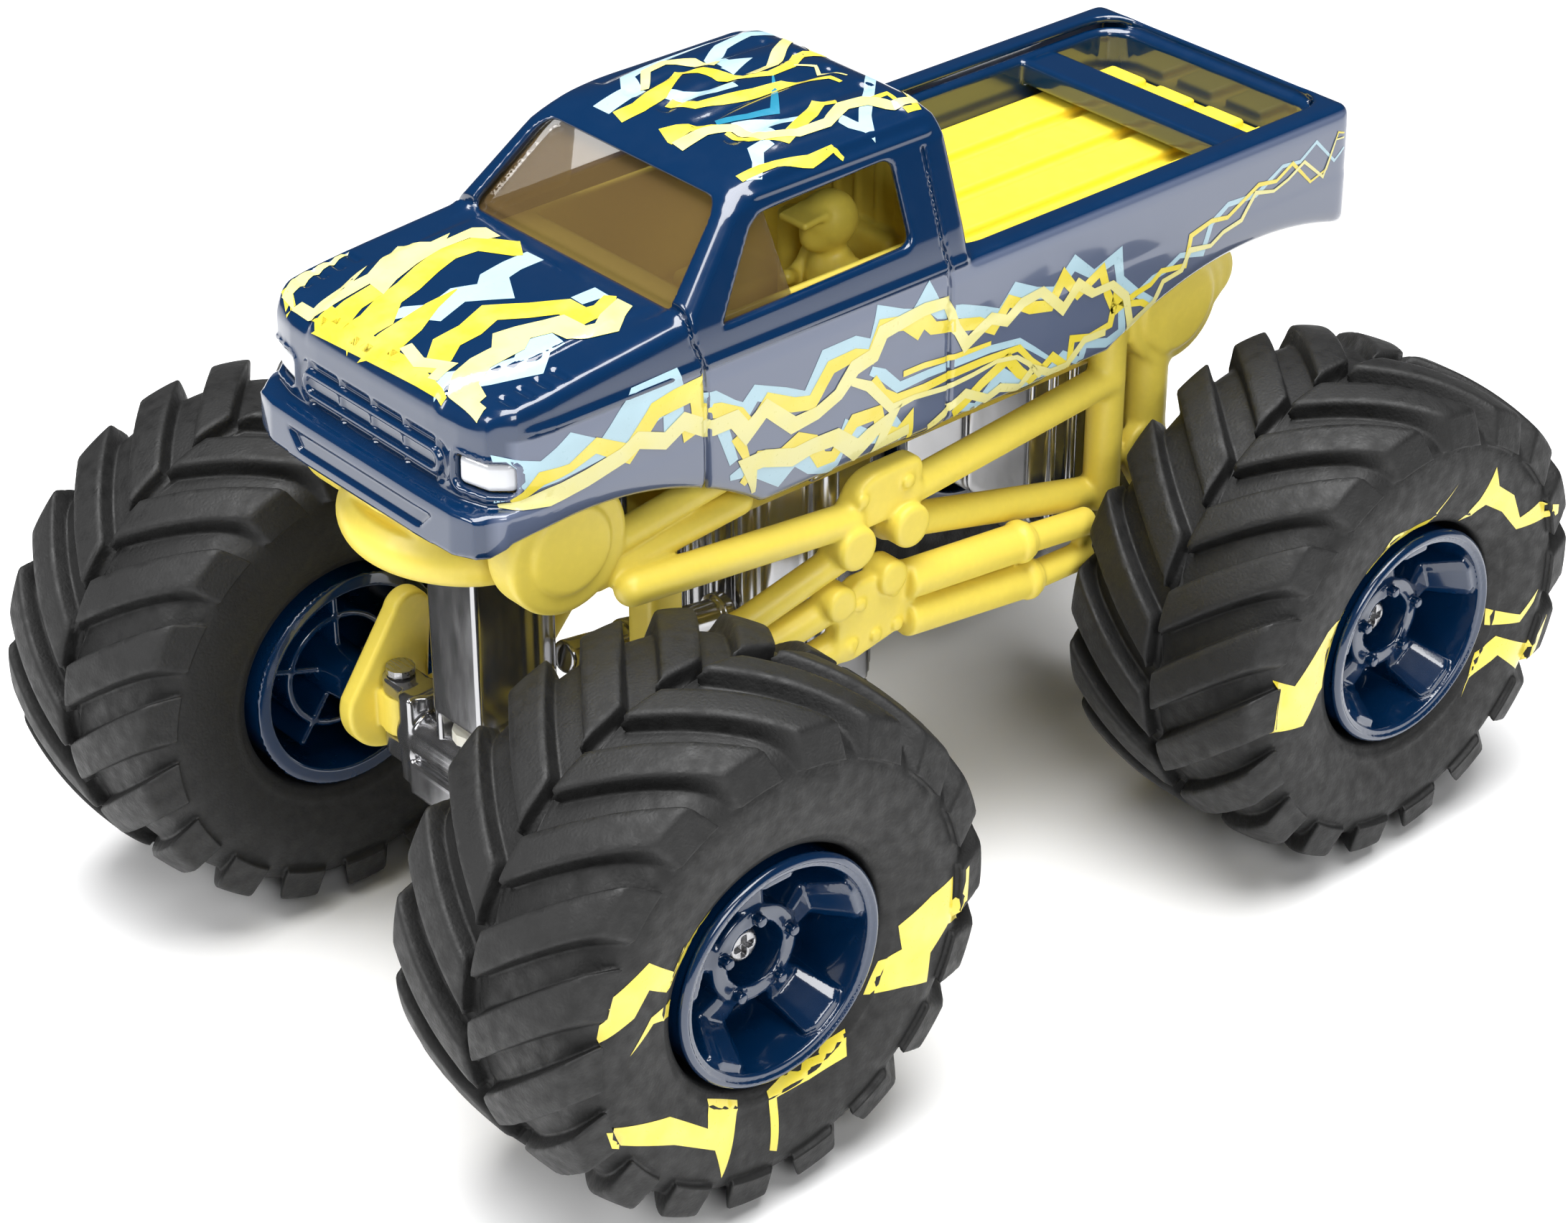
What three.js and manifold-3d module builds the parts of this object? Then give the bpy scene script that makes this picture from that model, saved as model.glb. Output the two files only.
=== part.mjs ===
// Radio-controlled monster truck, about 1:24. Millimetres, +Z up, -Y forward, +X to the truck's left.
// The origin is on the ground, halfway between the axles, on the centre line.
import * as THREE from 'three';
import { mergeVertices } from 'three/addons/utils/BufferGeometryUtils.js';
import Module from 'manifold-3d';

const wasm = await Module();
wasm.setup();
const { Manifold, Mesh: SolidMesh } = wasm;

// ---------------------------------------------------------------- driving dimensions
const WHEELBASE = 145;
const TYRE_R = 44.5;
const TYRE_SHOULDER_R = 41.5;
const TREAD_BASE_R = 40.8;
const TYRE_BEAD_R = 20.9;
const TYRE_HALF_W = 20.6;
const TRACK_HALF = 55.2;
const LUGS_PER_ROW = 18;
const LUG_SLANT = 1.15;
const RIM_R = 20;
const RIM_LIP_X = 21.6;

const AXLE_Z = TYRE_R;
const FRONT_Y = -WHEELBASE / 2;
const REAR_Y = WHEELBASE / 2;

const BODY_HALF = 32;
const SKIN = 1.6;
const GAP = 0.35;
const SILL_Z = 93;
const RAIL_Z = 121.4;
const ROOF_Z = 148.4;
const NOSE_Y = -93;
const TAIL_Y = 101.2;
const CAB_BACK_Y = 8;
const BED_FLOOR_Z = 112.2;
const BED_HALF = 24.6;
const BED_END_Y = 97;

const DECK_TOP = 87.5;
const DECK_THICK = 3;
const DECK_BOTTOM = DECK_TOP - DECK_THICK;
const DECK_HALF = 20.4;
const FRAME_X = 29;
const NOSE_SCREW = { x: 12, y: -53 };
const TAIL_SCREW = { x: 13, y: 64.5 };

const KINGPIN_X = 20;
const KINGPIN_R = 1.5;
const STEER_ARM = 12.45;
const SPINDLE_R = 2;

const GEAR_MODULE = 0.6;
const AXLE_GEAR_TEETH = 32;
const IDLER_SMALL_TEETH = 12;
const IDLER_BIG_TEETH = 30;
const PINION_TEETH = 10;

const CELL_R = 5.2;
const CELL_L = 44.5;

// ---------------------------------------------------------------- colours
const NAVY = { color: 0x0e325a, roughness: 0.2, metalness: 0 };
const YELLOW = { color: 0xe8d25c, roughness: 0.45, metalness: 0 };
const BRIGHT_YELLOW = { color: 0xf8e45c, roughness: 0.4, metalness: 0 };
const SILVER = { color: 0xb8b8b8, roughness: 0.28, metalness: 0.9 };
const RUBBER = { color: 0x242424, roughness: 0.75, metalness: 0 };
const STEEL = { color: 0x9a9a9c, roughness: 0.3, metalness: 1 };
const BLACK = { color: 0x1c1c1e, roughness: 0.5, metalness: 0 };
const WHITE = { color: 0xf0f0ee, roughness: 0.5, metalness: 0 };
const LENS = { color: 0xe6e9ec, roughness: 0.15, metalness: 0.3 };
const SMOKE = { color: 0x9a8c78, roughness: 0.08, metalness: 0, transparent: true, opacity: 0.4 };
const GREEN = { color: 0x1d6b3c, roughness: 0.5, metalness: 0 };
const BRASS = { color: 0xb58a3c, roughness: 0.35, metalness: 0.9 };
const CELL = { color: 0x2f4f3f, roughness: 0.4, metalness: 0.2 };

// ---------------------------------------------------------------- solids
function flipped(triangles) {
  const result = new Uint32Array(triangles.length);
  for (let i = 0; i < triangles.length; i += 3) {
    result.set([triangles[i], triangles[i + 2], triangles[i + 1]], i);
  }
  return result;
}

// A closed three.js geometry as a solid with its faces pointing out.
function solid(geometry) {
  const plain = geometry.clone();
  plain.deleteAttribute('normal');
  plain.deleteAttribute('uv');
  const merged = mergeVertices(plain, 1e-4);
  const kept = [];
  const index = merged.index.array;
  for (let i = 0; i < index.length; i += 3) {
    const [a, b, c] = [index[i], index[i + 1], index[i + 2]];
    if (a !== b && b !== c && c !== a) kept.push(a, b, c);
  }
  const vertProperties = Float32Array.from(merged.attributes.position.array);
  const triVerts = Uint32Array.from(kept);
  const made = new Manifold(new SolidMesh({ numProp: 3, vertProperties, triVerts }));
  if (made.volume() > 0) return made;
  return new Manifold(new SolidMesh({ numProp: 3, vertProperties, triVerts: flipped(triVerts) }));
}

function union(...solids) {
  return solids.reduce((sum, next) => sum.add(next));
}

function difference(first, ...others) {
  return others.reduce((rest, next) => rest.subtract(next), first);
}

function mirrored(shape) {
  const mesh = shape.getMesh();
  const vertProperties = mesh.vertProperties.slice();
  for (let i = 0; i < vertProperties.length; i += 3) vertProperties[i] *= -1;
  return new Manifold(new SolidMesh({ numProp: 3, vertProperties, triVerts: flipped(mesh.triVerts) }));
}

function bothSides(shape) {
  return shape.add(mirrored(shape));
}

// An outline extruded along one axis. X takes [y, z] points, Y takes [x, z] and Z takes [x, y].
function prism(axis, outline, from, to) {
  const shape = new THREE.Shape(outline.map(([a, b]) => new THREE.Vector2(a, b)));
  const geometry = new THREE.ExtrudeGeometry(shape, { depth: to - from, bevelEnabled: false });
  const turn = new THREE.Matrix4();
  if (axis === 'X') {
    geometry.translate(0, 0, from);
    turn.makeBasis(new THREE.Vector3(0, 1, 0), new THREE.Vector3(0, 0, 1), new THREE.Vector3(1, 0, 0));
  } else if (axis === 'Y') {
    geometry.translate(0, 0, -to);
    turn.makeBasis(new THREE.Vector3(1, 0, 0), new THREE.Vector3(0, 0, 1), new THREE.Vector3(0, -1, 0));
  } else {
    geometry.translate(0, 0, from);
  }
  return solid(geometry.applyMatrix4(turn));
}

function block(x0, x1, y0, y1, z0, z1) {
  const geometry = new THREE.BoxGeometry(x1 - x0, y1 - y0, z1 - z0);
  return solid(geometry.translate((x0 + x1) / 2, (y0 + y1) / 2, (z0 + z1) / 2));
}

function rod(from, to, radius, sides = 6, endRadius = radius) {
  const start = new THREE.Vector3(...from);
  const end = new THREE.Vector3(...to);
  const length = start.distanceTo(end);
  const geometry = new THREE.CylinderGeometry(endRadius, radius, length, sides);
  const direction = end.clone().sub(start).normalize();
  const turn = new THREE.Quaternion().setFromUnitVectors(new THREE.Vector3(0, 1, 0), direction);
  geometry.applyQuaternion(turn);
  return solid(geometry.translate(...start.add(end).multiplyScalar(0.5).toArray()));
}

function ball(centre, radius, stretch = [1, 1, 1]) {
  const geometry = new THREE.SphereGeometry(radius, 10, 6);
  return solid(geometry.scale(...stretch).translate(...centre));
}

// A [radius, x] profile turned about the X axis.
function turned(profile, sides) {
  const points = profile.map(([r, x]) => new THREE.Vector2(r, x));
  return solid(new THREE.LatheGeometry(points, sides).rotateZ(-Math.PI / 2));
}

function tubeAlong(points, radius, steps) {
  const path = new THREE.CatmullRomCurve3(points.map((p) => new THREE.Vector3(...p)));
  const shape = new THREE.Shape().absarc(0, 0, radius, 0, Math.PI * 2, false);
  const geometry = new THREE.ExtrudeGeometry(shape, { steps, curveSegments: 3, extrudePath: path });
  return solid(geometry);
}

function arc(centre, radius, from, to, steps) {
  const points = [];
  for (let i = 0; i <= steps; i++) {
    const angle = THREE.MathUtils.degToRad(from + ((to - from) * i) / steps);
    points.push([centre[0] + radius * Math.cos(angle), centre[1] + radius * Math.sin(angle)]);
  }
  return points;
}

// The outline of a belt round two circles.
function strap(a, radiusA, b, radiusB, steps = 6) {
  const lean = Math.atan2(b[1] - a[1], b[0] - a[0]);
  const spread = Math.acos((radiusA - radiusB) / Math.hypot(b[0] - a[0], b[1] - a[1]));
  const degrees = THREE.MathUtils.radToDeg;
  const end = arc(b, radiusB, degrees(lean - spread), degrees(lean + spread), steps);
  const start = arc(a, radiusA, degrees(lean + spread), degrees(lean - spread) + 360, steps);
  return [...end, ...start];
}

// A polygon with every corner rounded.
function rounded(corners, radius, steps = 3) {
  const points = [];
  corners.forEach((corner, i) => {
    const at = new THREE.Vector2(...corner);
    const before = new THREE.Vector2(...corners.at(i - 1)).sub(at);
    const after = new THREE.Vector2(...corners[(i + 1) % corners.length]).sub(at);
    const reach = Math.min(radius, before.length() * 0.45, after.length() * 0.45);
    const start = at.clone().add(before.setLength(reach));
    const end = at.clone().add(after.setLength(reach));
    const bend = new THREE.QuadraticBezierCurve(start, at, end);
    bend.getPoints(steps).forEach((p) => points.push([p.x, p.y]));
  });
  return points;
}

function roundedBox(x0, x1, y0, y1, radius) {
  return rounded([[x0, y0], [x1, y0], [x1, y1], [x0, y1]], radius);
}

// ---------------------------------------------------------------- the scene
const truck = new THREE.Group();

function piece(name, shape, finish, parent = truck) {
  const { vertProperties, triVerts } = shape.getMesh();
  const geometry = new THREE.BufferGeometry();
  geometry.setAttribute('position', new THREE.BufferAttribute(Float32Array.from(vertProperties), 3));
  geometry.setIndex(new THREE.BufferAttribute(Uint32Array.from(triVerts), 1));
  const mesh = new THREE.Mesh(geometry, new THREE.MeshStandardMaterial(finish));
  mesh.name = name;
  parent.add(mesh);
  return mesh;
}

function pair(name, leftShape, finish) {
  piece(`${name}_left`, leftShape, finish);
  piece(`${name}_right`, mirrored(leftShape), finish);
}

// ---------------------------------------------------------------- body shell
// The three outlines of the body, each drawn inset by t. An inset body is open underneath.
const FRONT_ARCH = { centre: [FRONT_Y, AXLE_Z], radius: 60.3, from: 122, to: 56.6 };
const REAR_ARCH = { centre: [76, 30], radius: 72.3, from: 119.6, to: 69.8 };
const OPEN_BELOW_Z = 70;

function sideOutline(t) {
  const top = [
    [NOSE_Y + t, 109 - t], [-89 + t, 109.8 - t], [-88.2 + t, 121.8 - t], [-85.5 + t, 124.8 - t],
    [-73 + t, 126.6 - t], [-50.5 + t * 0.5, 128.8 - t], [-36 + t, 143.4 - t * 0.6],
    [-22, 147.3 - t], [-6, ROOF_Z - t], [4.5 - t * 0.5, 147 - t], [7.6 - t, 143.5 - t * 0.5],
    [CAB_BACK_Y - t, RAIL_Z - t], [98.6 - t, RAIL_Z - t], [TAIL_Y - t, 119 - t],
  ];
  if (t > 0) return [[NOSE_Y + t, OPEN_BELOW_Z], [TAIL_Y - t, OPEN_BELOW_Z], ...top.reverse()];
  const rear = arc(REAR_ARCH.centre, REAR_ARCH.radius, REAR_ARCH.from, REAR_ARCH.to, 7);
  const front = arc(FRONT_ARCH.centre, FRONT_ARCH.radius, 102, FRONT_ARCH.to - 3, 6);
  const bottom = [[NOSE_Y, 101.2], [-87, 101.6], ...front, [-36, SILL_Z], [36, SILL_Z], ...rear];
  return [...bottom, ...top.reverse()];
}

// The nose is narrower above the bumper ledge than at the bumper.
const LEDGE_Z = 109.4;
const BUMPER_NOSE = [[14, -92.9], [23.4, -92.4], [27.6, -90.6], [30.6, -86.4]];
const UPPER_NOSE = [[14, -89.6], [21.6, -88.6], [26.8, -86.9], [30, -83.2]];

function planOutline(nose, t) {
  const front = [[0, nose[0][1] + t], ...nose.map(([x, y]) => [x - t * 0.6, y + t * 0.9])];
  const tail = [[BODY_HALF - t, 96.4], [31 - t, 99.2 - t * 0.5], [29 - t * 0.6, 100.8 - t], [26.4, TAIL_Y - t]];
  const half = [...front, [BODY_HALF - t, -77], ...tail];
  const other = half.slice(1).reverse().map(([x, y]) => [-x, y]);
  return [...half, ...other];
}

function frontOutline(t) {
  const half = [
    [31.4 - t, OPEN_BELOW_Z], [BODY_HALF - t, 100], [BODY_HALF - t, 113], [31 - t, RAIL_Z],
    [29.6 - t, 127], [24.6 - t, 141.3], [22 - t * 0.7, 145 - t * 0.7], [17 - t * 0.4, 147.2 - t],
    [8, 148.2 - t], [0, ROOF_Z - t],
  ];
  const other = half.slice(0, -1).reverse().map(([x, z]) => [-x, z]);
  return [...half, ...other];
}

function bodySolid(t) {
  const side = prism('X', sideOutline(t), -40, 40);
  const lower = prism('Z', planOutline(BUMPER_NOSE, t), 60, LEDGE_Z - t);
  const upper = prism('Z', planOutline(UPPER_NOSE, t), 60, 160);
  return side.intersect(lower.add(upper)).intersect(prism('Y', frontOutline(t), -110, 110));
}

const WINDOW = rounded([[-43.6, 126], [-33.5, 139.8], [-4.4, 140.6], [-4, 126.8]], 3);
const HEADLIGHT = { x0: 20.6, x1: 29.4, z0: 111.6, z1: 116.6 };
const GRILLE = { half: 19.2, z0: 110.6, z1: 117.2, depth: 0.8 };

function grilleBars() {
  const bars = [];
  for (const z of [112.6, 114.4]) {
    bars.push(block(-GRILLE.half, GRILLE.half, -88.8, -87, z - 0.4, z + 0.4));
  }
  for (let x = -15; x <= 15; x += 10) {
    bars.push(block(x - 0.5, x + 0.5, -88.6, -87, GRILLE.z0 - 0.2, GRILLE.z1 + 0.2));
  }
  return union(...bars);
}

function headlightBlock(gap) {
  const { x0, x1, z0, z1 } = HEADLIGHT;
  return block(x0 + gap, x1 - gap, -96, -80, z0 + gap, z1 - gap);
}

function bedWalls() {
  const outer = prism('Z', roundedBox(-BED_HALF - SKIN, BED_HALF + SKIN, 8.2, BED_END_Y + SKIN, 6), 110, 120.6);
  const bar = block(-BED_HALF - 1, BED_HALF + 1, 73.6, 81.6, 114.4, 119);
  const hole = prism('Z', roundedBox(-BED_HALF, BED_HALF, CAB_BACK_Y + 2, BED_END_Y, 5), 100, 130);
  return { outer, bar, hole };
}

function bodyShell() {
  const { outer, bar, hole } = bedWalls();
  const windscreen = prism('Y', [[-24.4, 129.2], [24.4, 129.2], [20.4, 141.6], [-20.4, 141.6]], -60, -30);
  const lights = bothSides(headlightBlock(0));
  const grille = block(-GRILLE.half, GRILLE.half, -96, -88.2 + GRILLE.depth, GRILLE.z0, GRILLE.z1);
  const slot = prism('Y', [[-16, 103.6], [16, 103.6], [18.2, 106.1], [-18.2, 106.1]], -96, NOSE_Y + 1);
  const hollow = difference(bodySolid(0), bodySolid(SKIN));
  const open = difference(hollow, windscreen, prism('X', WINDOW, -40, 40), lights, grille, slot);
  const bed = difference(open.add(outer), hole).add(bar);
  const roofPost = rod([0, -3, 122.8], [0, -3, 147.2], 2.8, 14);
  const { x, y } = NOSE_SCREW;
  const nosePosts = bothSides(rod([x, y, DECK_TOP + GAP], [x, y, 127], 2.8, 10));
  const pilots = bothSides(rod([x, y, 80], [x, y, 100], 1.05, 8));
  return difference(union(bed, grilleBars(), roofPost, nosePosts), pilots);
}

function windshield() {
  const layer = difference(bodySolid(SKIN + GAP), bodySolid(SKIN + GAP + 1.1));
  const region = prism('X', [[-49.6, 126.2], [-28, 126.2], [-31.6, 142.2], [-37, 142.2]], -40, 40);
  return layer.intersect(region);
}

function headlight() {
  return difference(bodySolid(0).intersect(headlightBlock(GAP)), bodySolid(SKIN));
}

// ---------------------------------------------------------------- cab interior and bed floor
const TRAY = { half: 25.6, foot: 21.6, front: -46.6, back: 5.9, floor: 95, shoulder: 102, rim: 124.8 };

function interiorTray() {
  const { half, foot, front, back, floor, shoulder, rim } = TRAY;
  const tub = block(-half, half, front, back, shoulder, rim).add(block(-foot, foot, front, back, floor, shoulder + 2));
  const wide = block(-half + 1.5, half - 1.5, -38, back - 1.8, shoulder + 1.6, rim + 1);
  const deep = block(-foot + 1.5, foot - 1.5, -38, back - 1.8, floor + 1.8, rim);
  const dashSlope = prism('X', [[-48, 117], [-38, 122], [-36, 130], [-48, 130]], -40, 40);
  const backWall = prism('Y', [[-half, 120], [half, 120], [21.2, 140], [-21.2, 140]], back - 1.8, back);
  const seats = [-12, 12].map((x) => union(
    block(x - 7, x + 7, -14, back - 1, floor + 1, 108),
    block(x - 6.5, x + 6.5, 0.6, back - 1, floor + 1, 122),
  ));
  const post = rod([0, -3, floor + 1], [0, -3, 122.4], 2.8, 14);
  return union(difference(tub, wide, deep, dashSlope), backWall, ...seats, post);
}

function driverFigure() {
  const x = 12;
  const torso = rod([x, -6.5, 108.8], [x, -5.4, 120], 5.6, 10, 4.6);
  const shoulders = ball([x, -5.6, 118.6], 5.4, [1.1, 0.85, 0.7]);
  const helmet = ball([x, -5.9, 126.2], 5.1, [0.92, 1.02, 0.98]);
  const peak = prism('X', [[-9, 130.2], [-14.6, 127.2], [-9, 126.2]], x - 3.6, x + 3.6);
  return union(torso, shoulders, helmet, peak);
}

function bedFloor() {
  const half = BED_HALF - GAP;
  const plate = prism('Z', roundedBox(-half, half, CAB_BACK_Y + 2 + GAP, BED_END_Y - GAP, 5), BED_FLOOR_Z - 1.4, BED_FLOOR_Z);
  const rib = (x, front, back) => block(x - 3.5, x + 3.5, front, back, BED_FLOOR_Z - 0.5, BED_FLOOR_Z + 0.8);
  const ribs = [-18, -6, 6, 18].flatMap((x) => [rib(x, 14, 72.8), rib(x, 82.4, 95)]);
  const { x, y } = TAIL_SCREW;
  const posts = bothSides(rod([x, y, DECK_TOP + GAP], [x, y, BED_FLOOR_Z - 0.5], 2.8, 10));
  const pilots = bothSides(rod([x, y, 80], [x, y, 100], 1.05, 8));
  return difference(union(plate, ...ribs, posts), pilots);
}

// ---------------------------------------------------------------- chassis
const SWITCH = { x: 12, y: 30, travel: 3 };
const CASE = { half: 13.2, front: -21.4, back: 4.2, bottom: 34.2 };

function chassisDeck() {
  const wide = DECK_HALF;
  const narrow = DECK_HALF - 4;
  const left = [[narrow, -60], [narrow, -45], [wide, -42], [wide, 68]];
  const outline = [...left, ...left.slice().reverse().map(([x, y]) => [-x, y])];
  const plate = prism('Z', rounded(outline, 3, 2), DECK_BOTTOM, DECK_TOP);
  const wires = block(-5, 5, -16, -2, 80, 90);
  const screws = [NOSE_SCREW, TAIL_SCREW].map((at) => bothSides(rod([at.x, at.y, 80], [at.x, at.y, 90], 1.35, 8)));
  const { x, y, travel } = SWITCH;
  const slot = block(x - 1.9, x + 1.9, y - 2, y + travel + 2, 80, 90);
  const lugs = bothSides(block(wide - 2, wide, -40, 50, DECK_TOP - 0.5, DECK_TOP + 3));
  return difference(plate.add(lugs), wires, ...screws, slot);
}

const UPPER_BOSSES = [[-17.4, 77.6], [-5.5, 77.4]];
const REAR_ARM_X = 25;

function drum(y, z, radius) {
  return turned([[0, 21], [radius, 21], [radius, 27.8], [radius - 1.4, 29.2], [0, 29.2]], 14)
    .translate([0, y, z]);
}

function sideFrame() {
  const x = FRAME_X;
  const front = union(
    drum(FRONT_Y - 0.6, 97.4, 11.2),
    rod([x, -64, 86.8], [x, -16, 81.4], 3),
    rod([25, -66, 93], [25, -36, 97.4], 2.6),
    rod([25, -66, 88.6], [25, -36, 91.2], 2.6),
    rod([x, UPPER_BOSSES[0][0], 75.6], [23, -36, 65.6], 2.6),
    rod([23, -36, 65.6], [20.5, -49.5, 58.8], 2.6),
    prism('Z', roundedBox(16.2, 23.2, -53.4, -46.4, 2), 43.5, 84),
    rod([20, -60, 90], [20, -50, 82], 3),
  );
  const plate = prism('X', rounded([[-20, 79], [-2.4, 79], [-1.4, 88.6], [-14.4, 88.6]], 2.4), 26.4, 31);
  const bosses = UPPER_BOSSES.map(([y, z]) => rod([26, y, z], [33, y, z], 4, 8));
  const back = union(
    rod([x - 1, -4, 81.6], [25.5, 46, 84], 3),
    rod([26, -5.5, 75.4], [23.6, 47, 60.6], 3),
    rod([25, 46.8, 59], [25, 46.8, 95], 3.4),
    rod([25, 57, 66], [25, 57, 95], 3.8),
    drum(60.2, 94.6, 10.8),
    rod([21, 69.4, 97.4], [28, 69.4, 97.4], 5, 8),
    prism('X', strap([REAR_Y, AXLE_Z], 8.4, [55, 68], 5), REAR_ARM_X - 0.6, REAR_ARM_X + 3),
  );
  const hub = rod([20, REAR_Y, AXLE_Z], [35, REAR_Y, AXLE_Z], 2.7, 12);
  return difference(union(front, plate, ...bosses, back), hub);
}

function linkSet() {
  const outline = [[-19.6, 65.4], [-16, 69.6], [-4.6, 69.2], [-2.6, 66], [-3.2, 60.4], [-6, 57], [-17.6, 55], [-20, 57]];
  const plate = prism('X', rounded(outline, 1.8, 2), 27, 31);
  const bosses = [[-20, 67.4], [-8.6, 68.2]].map(([y, z]) => rod([26.4, y, z], [32, y, z], 3, 8));
  const rear = [[[-5, 65.6], [24, 62.6], [39, 60.4]], [[-5, 58.4], [26, 54.6], [39, 53.8]]].flatMap(([a, b, c]) => [
    rod([29.6, ...a], [30, ...b], 3.4, 8),
    rod([30, ...b], [29.6, ...c], 2.5, 6),
  ]);
  const front = [[67.4, 53.6], [58.8, 46]].flatMap(([z, end]) => {
    const mid = (z + end) / 2;
    return [
      rod([29, -17, z], [24.6, -31, mid + 0.6], 2.9, 8),
      rod([24.6, -31, mid + 0.6], [20.8, -42.6, end], 2.3, 6),
    ];
  });
  const tie = block(28, 30.4, 36.6, 40, 52, 62);
  const foot = block(18.2, 23, -45.4, -42, 44, 56);
  return union(plate, ...bosses, ...rear, ...front, tie, foot);
}

function frontBumper() {
  const left = [[16.6, -69], [16.4, -78.4], [12.2, -83.8], [6, -87.2]];
  const ends = [...left, [0, -88.2], ...left.slice().reverse().map(([x, y]) => [-x, y])];
  const bar = tubeAlong(ends.map(([x, y]) => [x, y, 92.3]), 3.9, 12);
  const front = [[17.4, -70], [17.2, -79], [13, -85.4], [6, -89.4]];
  const band = prism('Z', [...front, ...front.slice().reverse().map(([x, y]) => [-x, y])], 92, 100.8);
  const room = block(-13, 13, -82, -60, 91, 110);
  const bracket = block(-9, 9, -86, -57, DECK_TOP + GAP, 91.4);
  return union(bar, difference(band, room), bracket);
}

// ---------------------------------------------------------------- front axle and steering
// A narrow box round the steering servo, with a round column up each rear corner and two legs on the axle beam.
function frontHousing() {
  const outer = prism('Z', roundedBox(-6.6, 6.6, -76, -59.6, 1), 52.6, DECK_BOTTOM - GAP);
  const columns = bothSides(rod([3.2, -63.8, 52.6], [3.2, -63.8, DECK_BOTTOM - GAP], 4, 16));
  const room = block(-5.4, 5.4, -75, -60.8, 50, 78);
  const legs = bothSides(block(4.9, 6.6, -75.6, -68, 40.2 + GAP, 54));
  return union(difference(union(outer, columns), room), legs);
}

function frontAxleBeam() {
  const bar = block(-13, 13, FRONT_Y - 4.6, FRONT_Y + 4.6, 33.6, 40.2);
  const channel = block(-10, 10, FRONT_Y - 2.6, FRONT_Y + 2.6, 30, 36);
  const web = block(12, 15.6, FRONT_Y - 4.2, FRONT_Y + 4.2, 35, 52);
  const ear = strap([14, FRONT_Y], 3.6, [KINGPIN_X, FRONT_Y], 2.9);
  const ears = union(prism('Z', ear, 37, 41), prism('Z', ear, 49, 52));
  const bore = rod([KINGPIN_X, FRONT_Y, 30], [KINGPIN_X, FRONT_Y, 60], KINGPIN_R + 0.05, 12);
  return difference(union(difference(bar, channel), bothSides(web.add(ears))), bothSides(bore));
}

function kingpin() {
  const shank = rod([KINGPIN_X, FRONT_Y, 37.2], [KINGPIN_X, FRONT_Y, 52.4], KINGPIN_R, 12);
  const head = rod([KINGPIN_X, FRONT_Y, 52.4], [KINGPIN_X, FRONT_Y, 53.6], 2.5, 12);
  return shank.add(head);
}

function knuckle() {
  const plate = prism('X', strap([FRONT_Y, AXLE_Z], 8.4, [-67, 60], 4), 23.3, 27.2);
  const eye = rod([KINGPIN_X, FRONT_Y, 41.3], [KINGPIN_X, FRONT_Y, 48.7], 3.2, 16);
  const neck = block(KINGPIN_X, 24, FRONT_Y - 3, FRONT_Y + 3, 41.3, 48.7);
  const armY = FRONT_Y + STEER_ARM;
  const arm = union(
    block(20.2, 26, FRONT_Y + 2, armY + 1, 42, 45.4),
    prism('Z', arc([KINGPIN_X, armY], 2.2, 0, 324, 9), 42, 45.4),
    rod([KINGPIN_X, armY, 45], [KINGPIN_X, armY, 49.4], 1.2, 12),
  );
  const bore = rod([KINGPIN_X, FRONT_Y, 38], [KINGPIN_X, FRONT_Y, 52], KINGPIN_R + 0.08, 12);
  const seat = rod([23.6, FRONT_Y, AXLE_Z], [30, FRONT_Y, AXLE_Z], SPINDLE_R + 0.05, 12);
  return difference(union(plate, eye, neck, arm), bore, seat);
}

function tieRod() {
  const y = FRONT_Y + STEER_ARM;
  const bar = block(-19, 19, y - 1.6, y + 1.6, 46.2, 48.6);
  const ends = bothSides(prism('Z', arc([KINGPIN_X, y], 2.9, 0, 324, 9), 46.2, 48.6));
  const middle = prism('Z', arc([0, y], 2.9, 0, 324, 9), 46.2, 48.6);
  const holes = [-KINGPIN_X, 0, KINGPIN_X].map((x) => rod([x, y, 40], [x, y, 56], 1.75, 12));
  return difference(union(bar, ends, middle), ...holes);
}

function steeringServo() {
  const body = block(-5.1, 5.1, -74.7, -61.1, 58, 76);
  const tower = rod([0, FRONT_Y, 56], [0, FRONT_Y, 59], 2.3, 14);
  return difference(union(body, tower), rod([0, FRONT_Y, 50], [0, FRONT_Y, 62], 1.65, 12));
}

function servoArm() {
  const y = FRONT_Y + STEER_ARM;
  const arm = prism('Z', strap([0, FRONT_Y], 3.6, [0, y], 2.6), 49.2, 51.2);
  const shaft = rod([0, FRONT_Y, 50], [0, FRONT_Y, 61], 1.5, 12);
  return union(arm, shaft, rod([0, y, 46.6], [0, y, 50], 1.2, 12));
}

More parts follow.
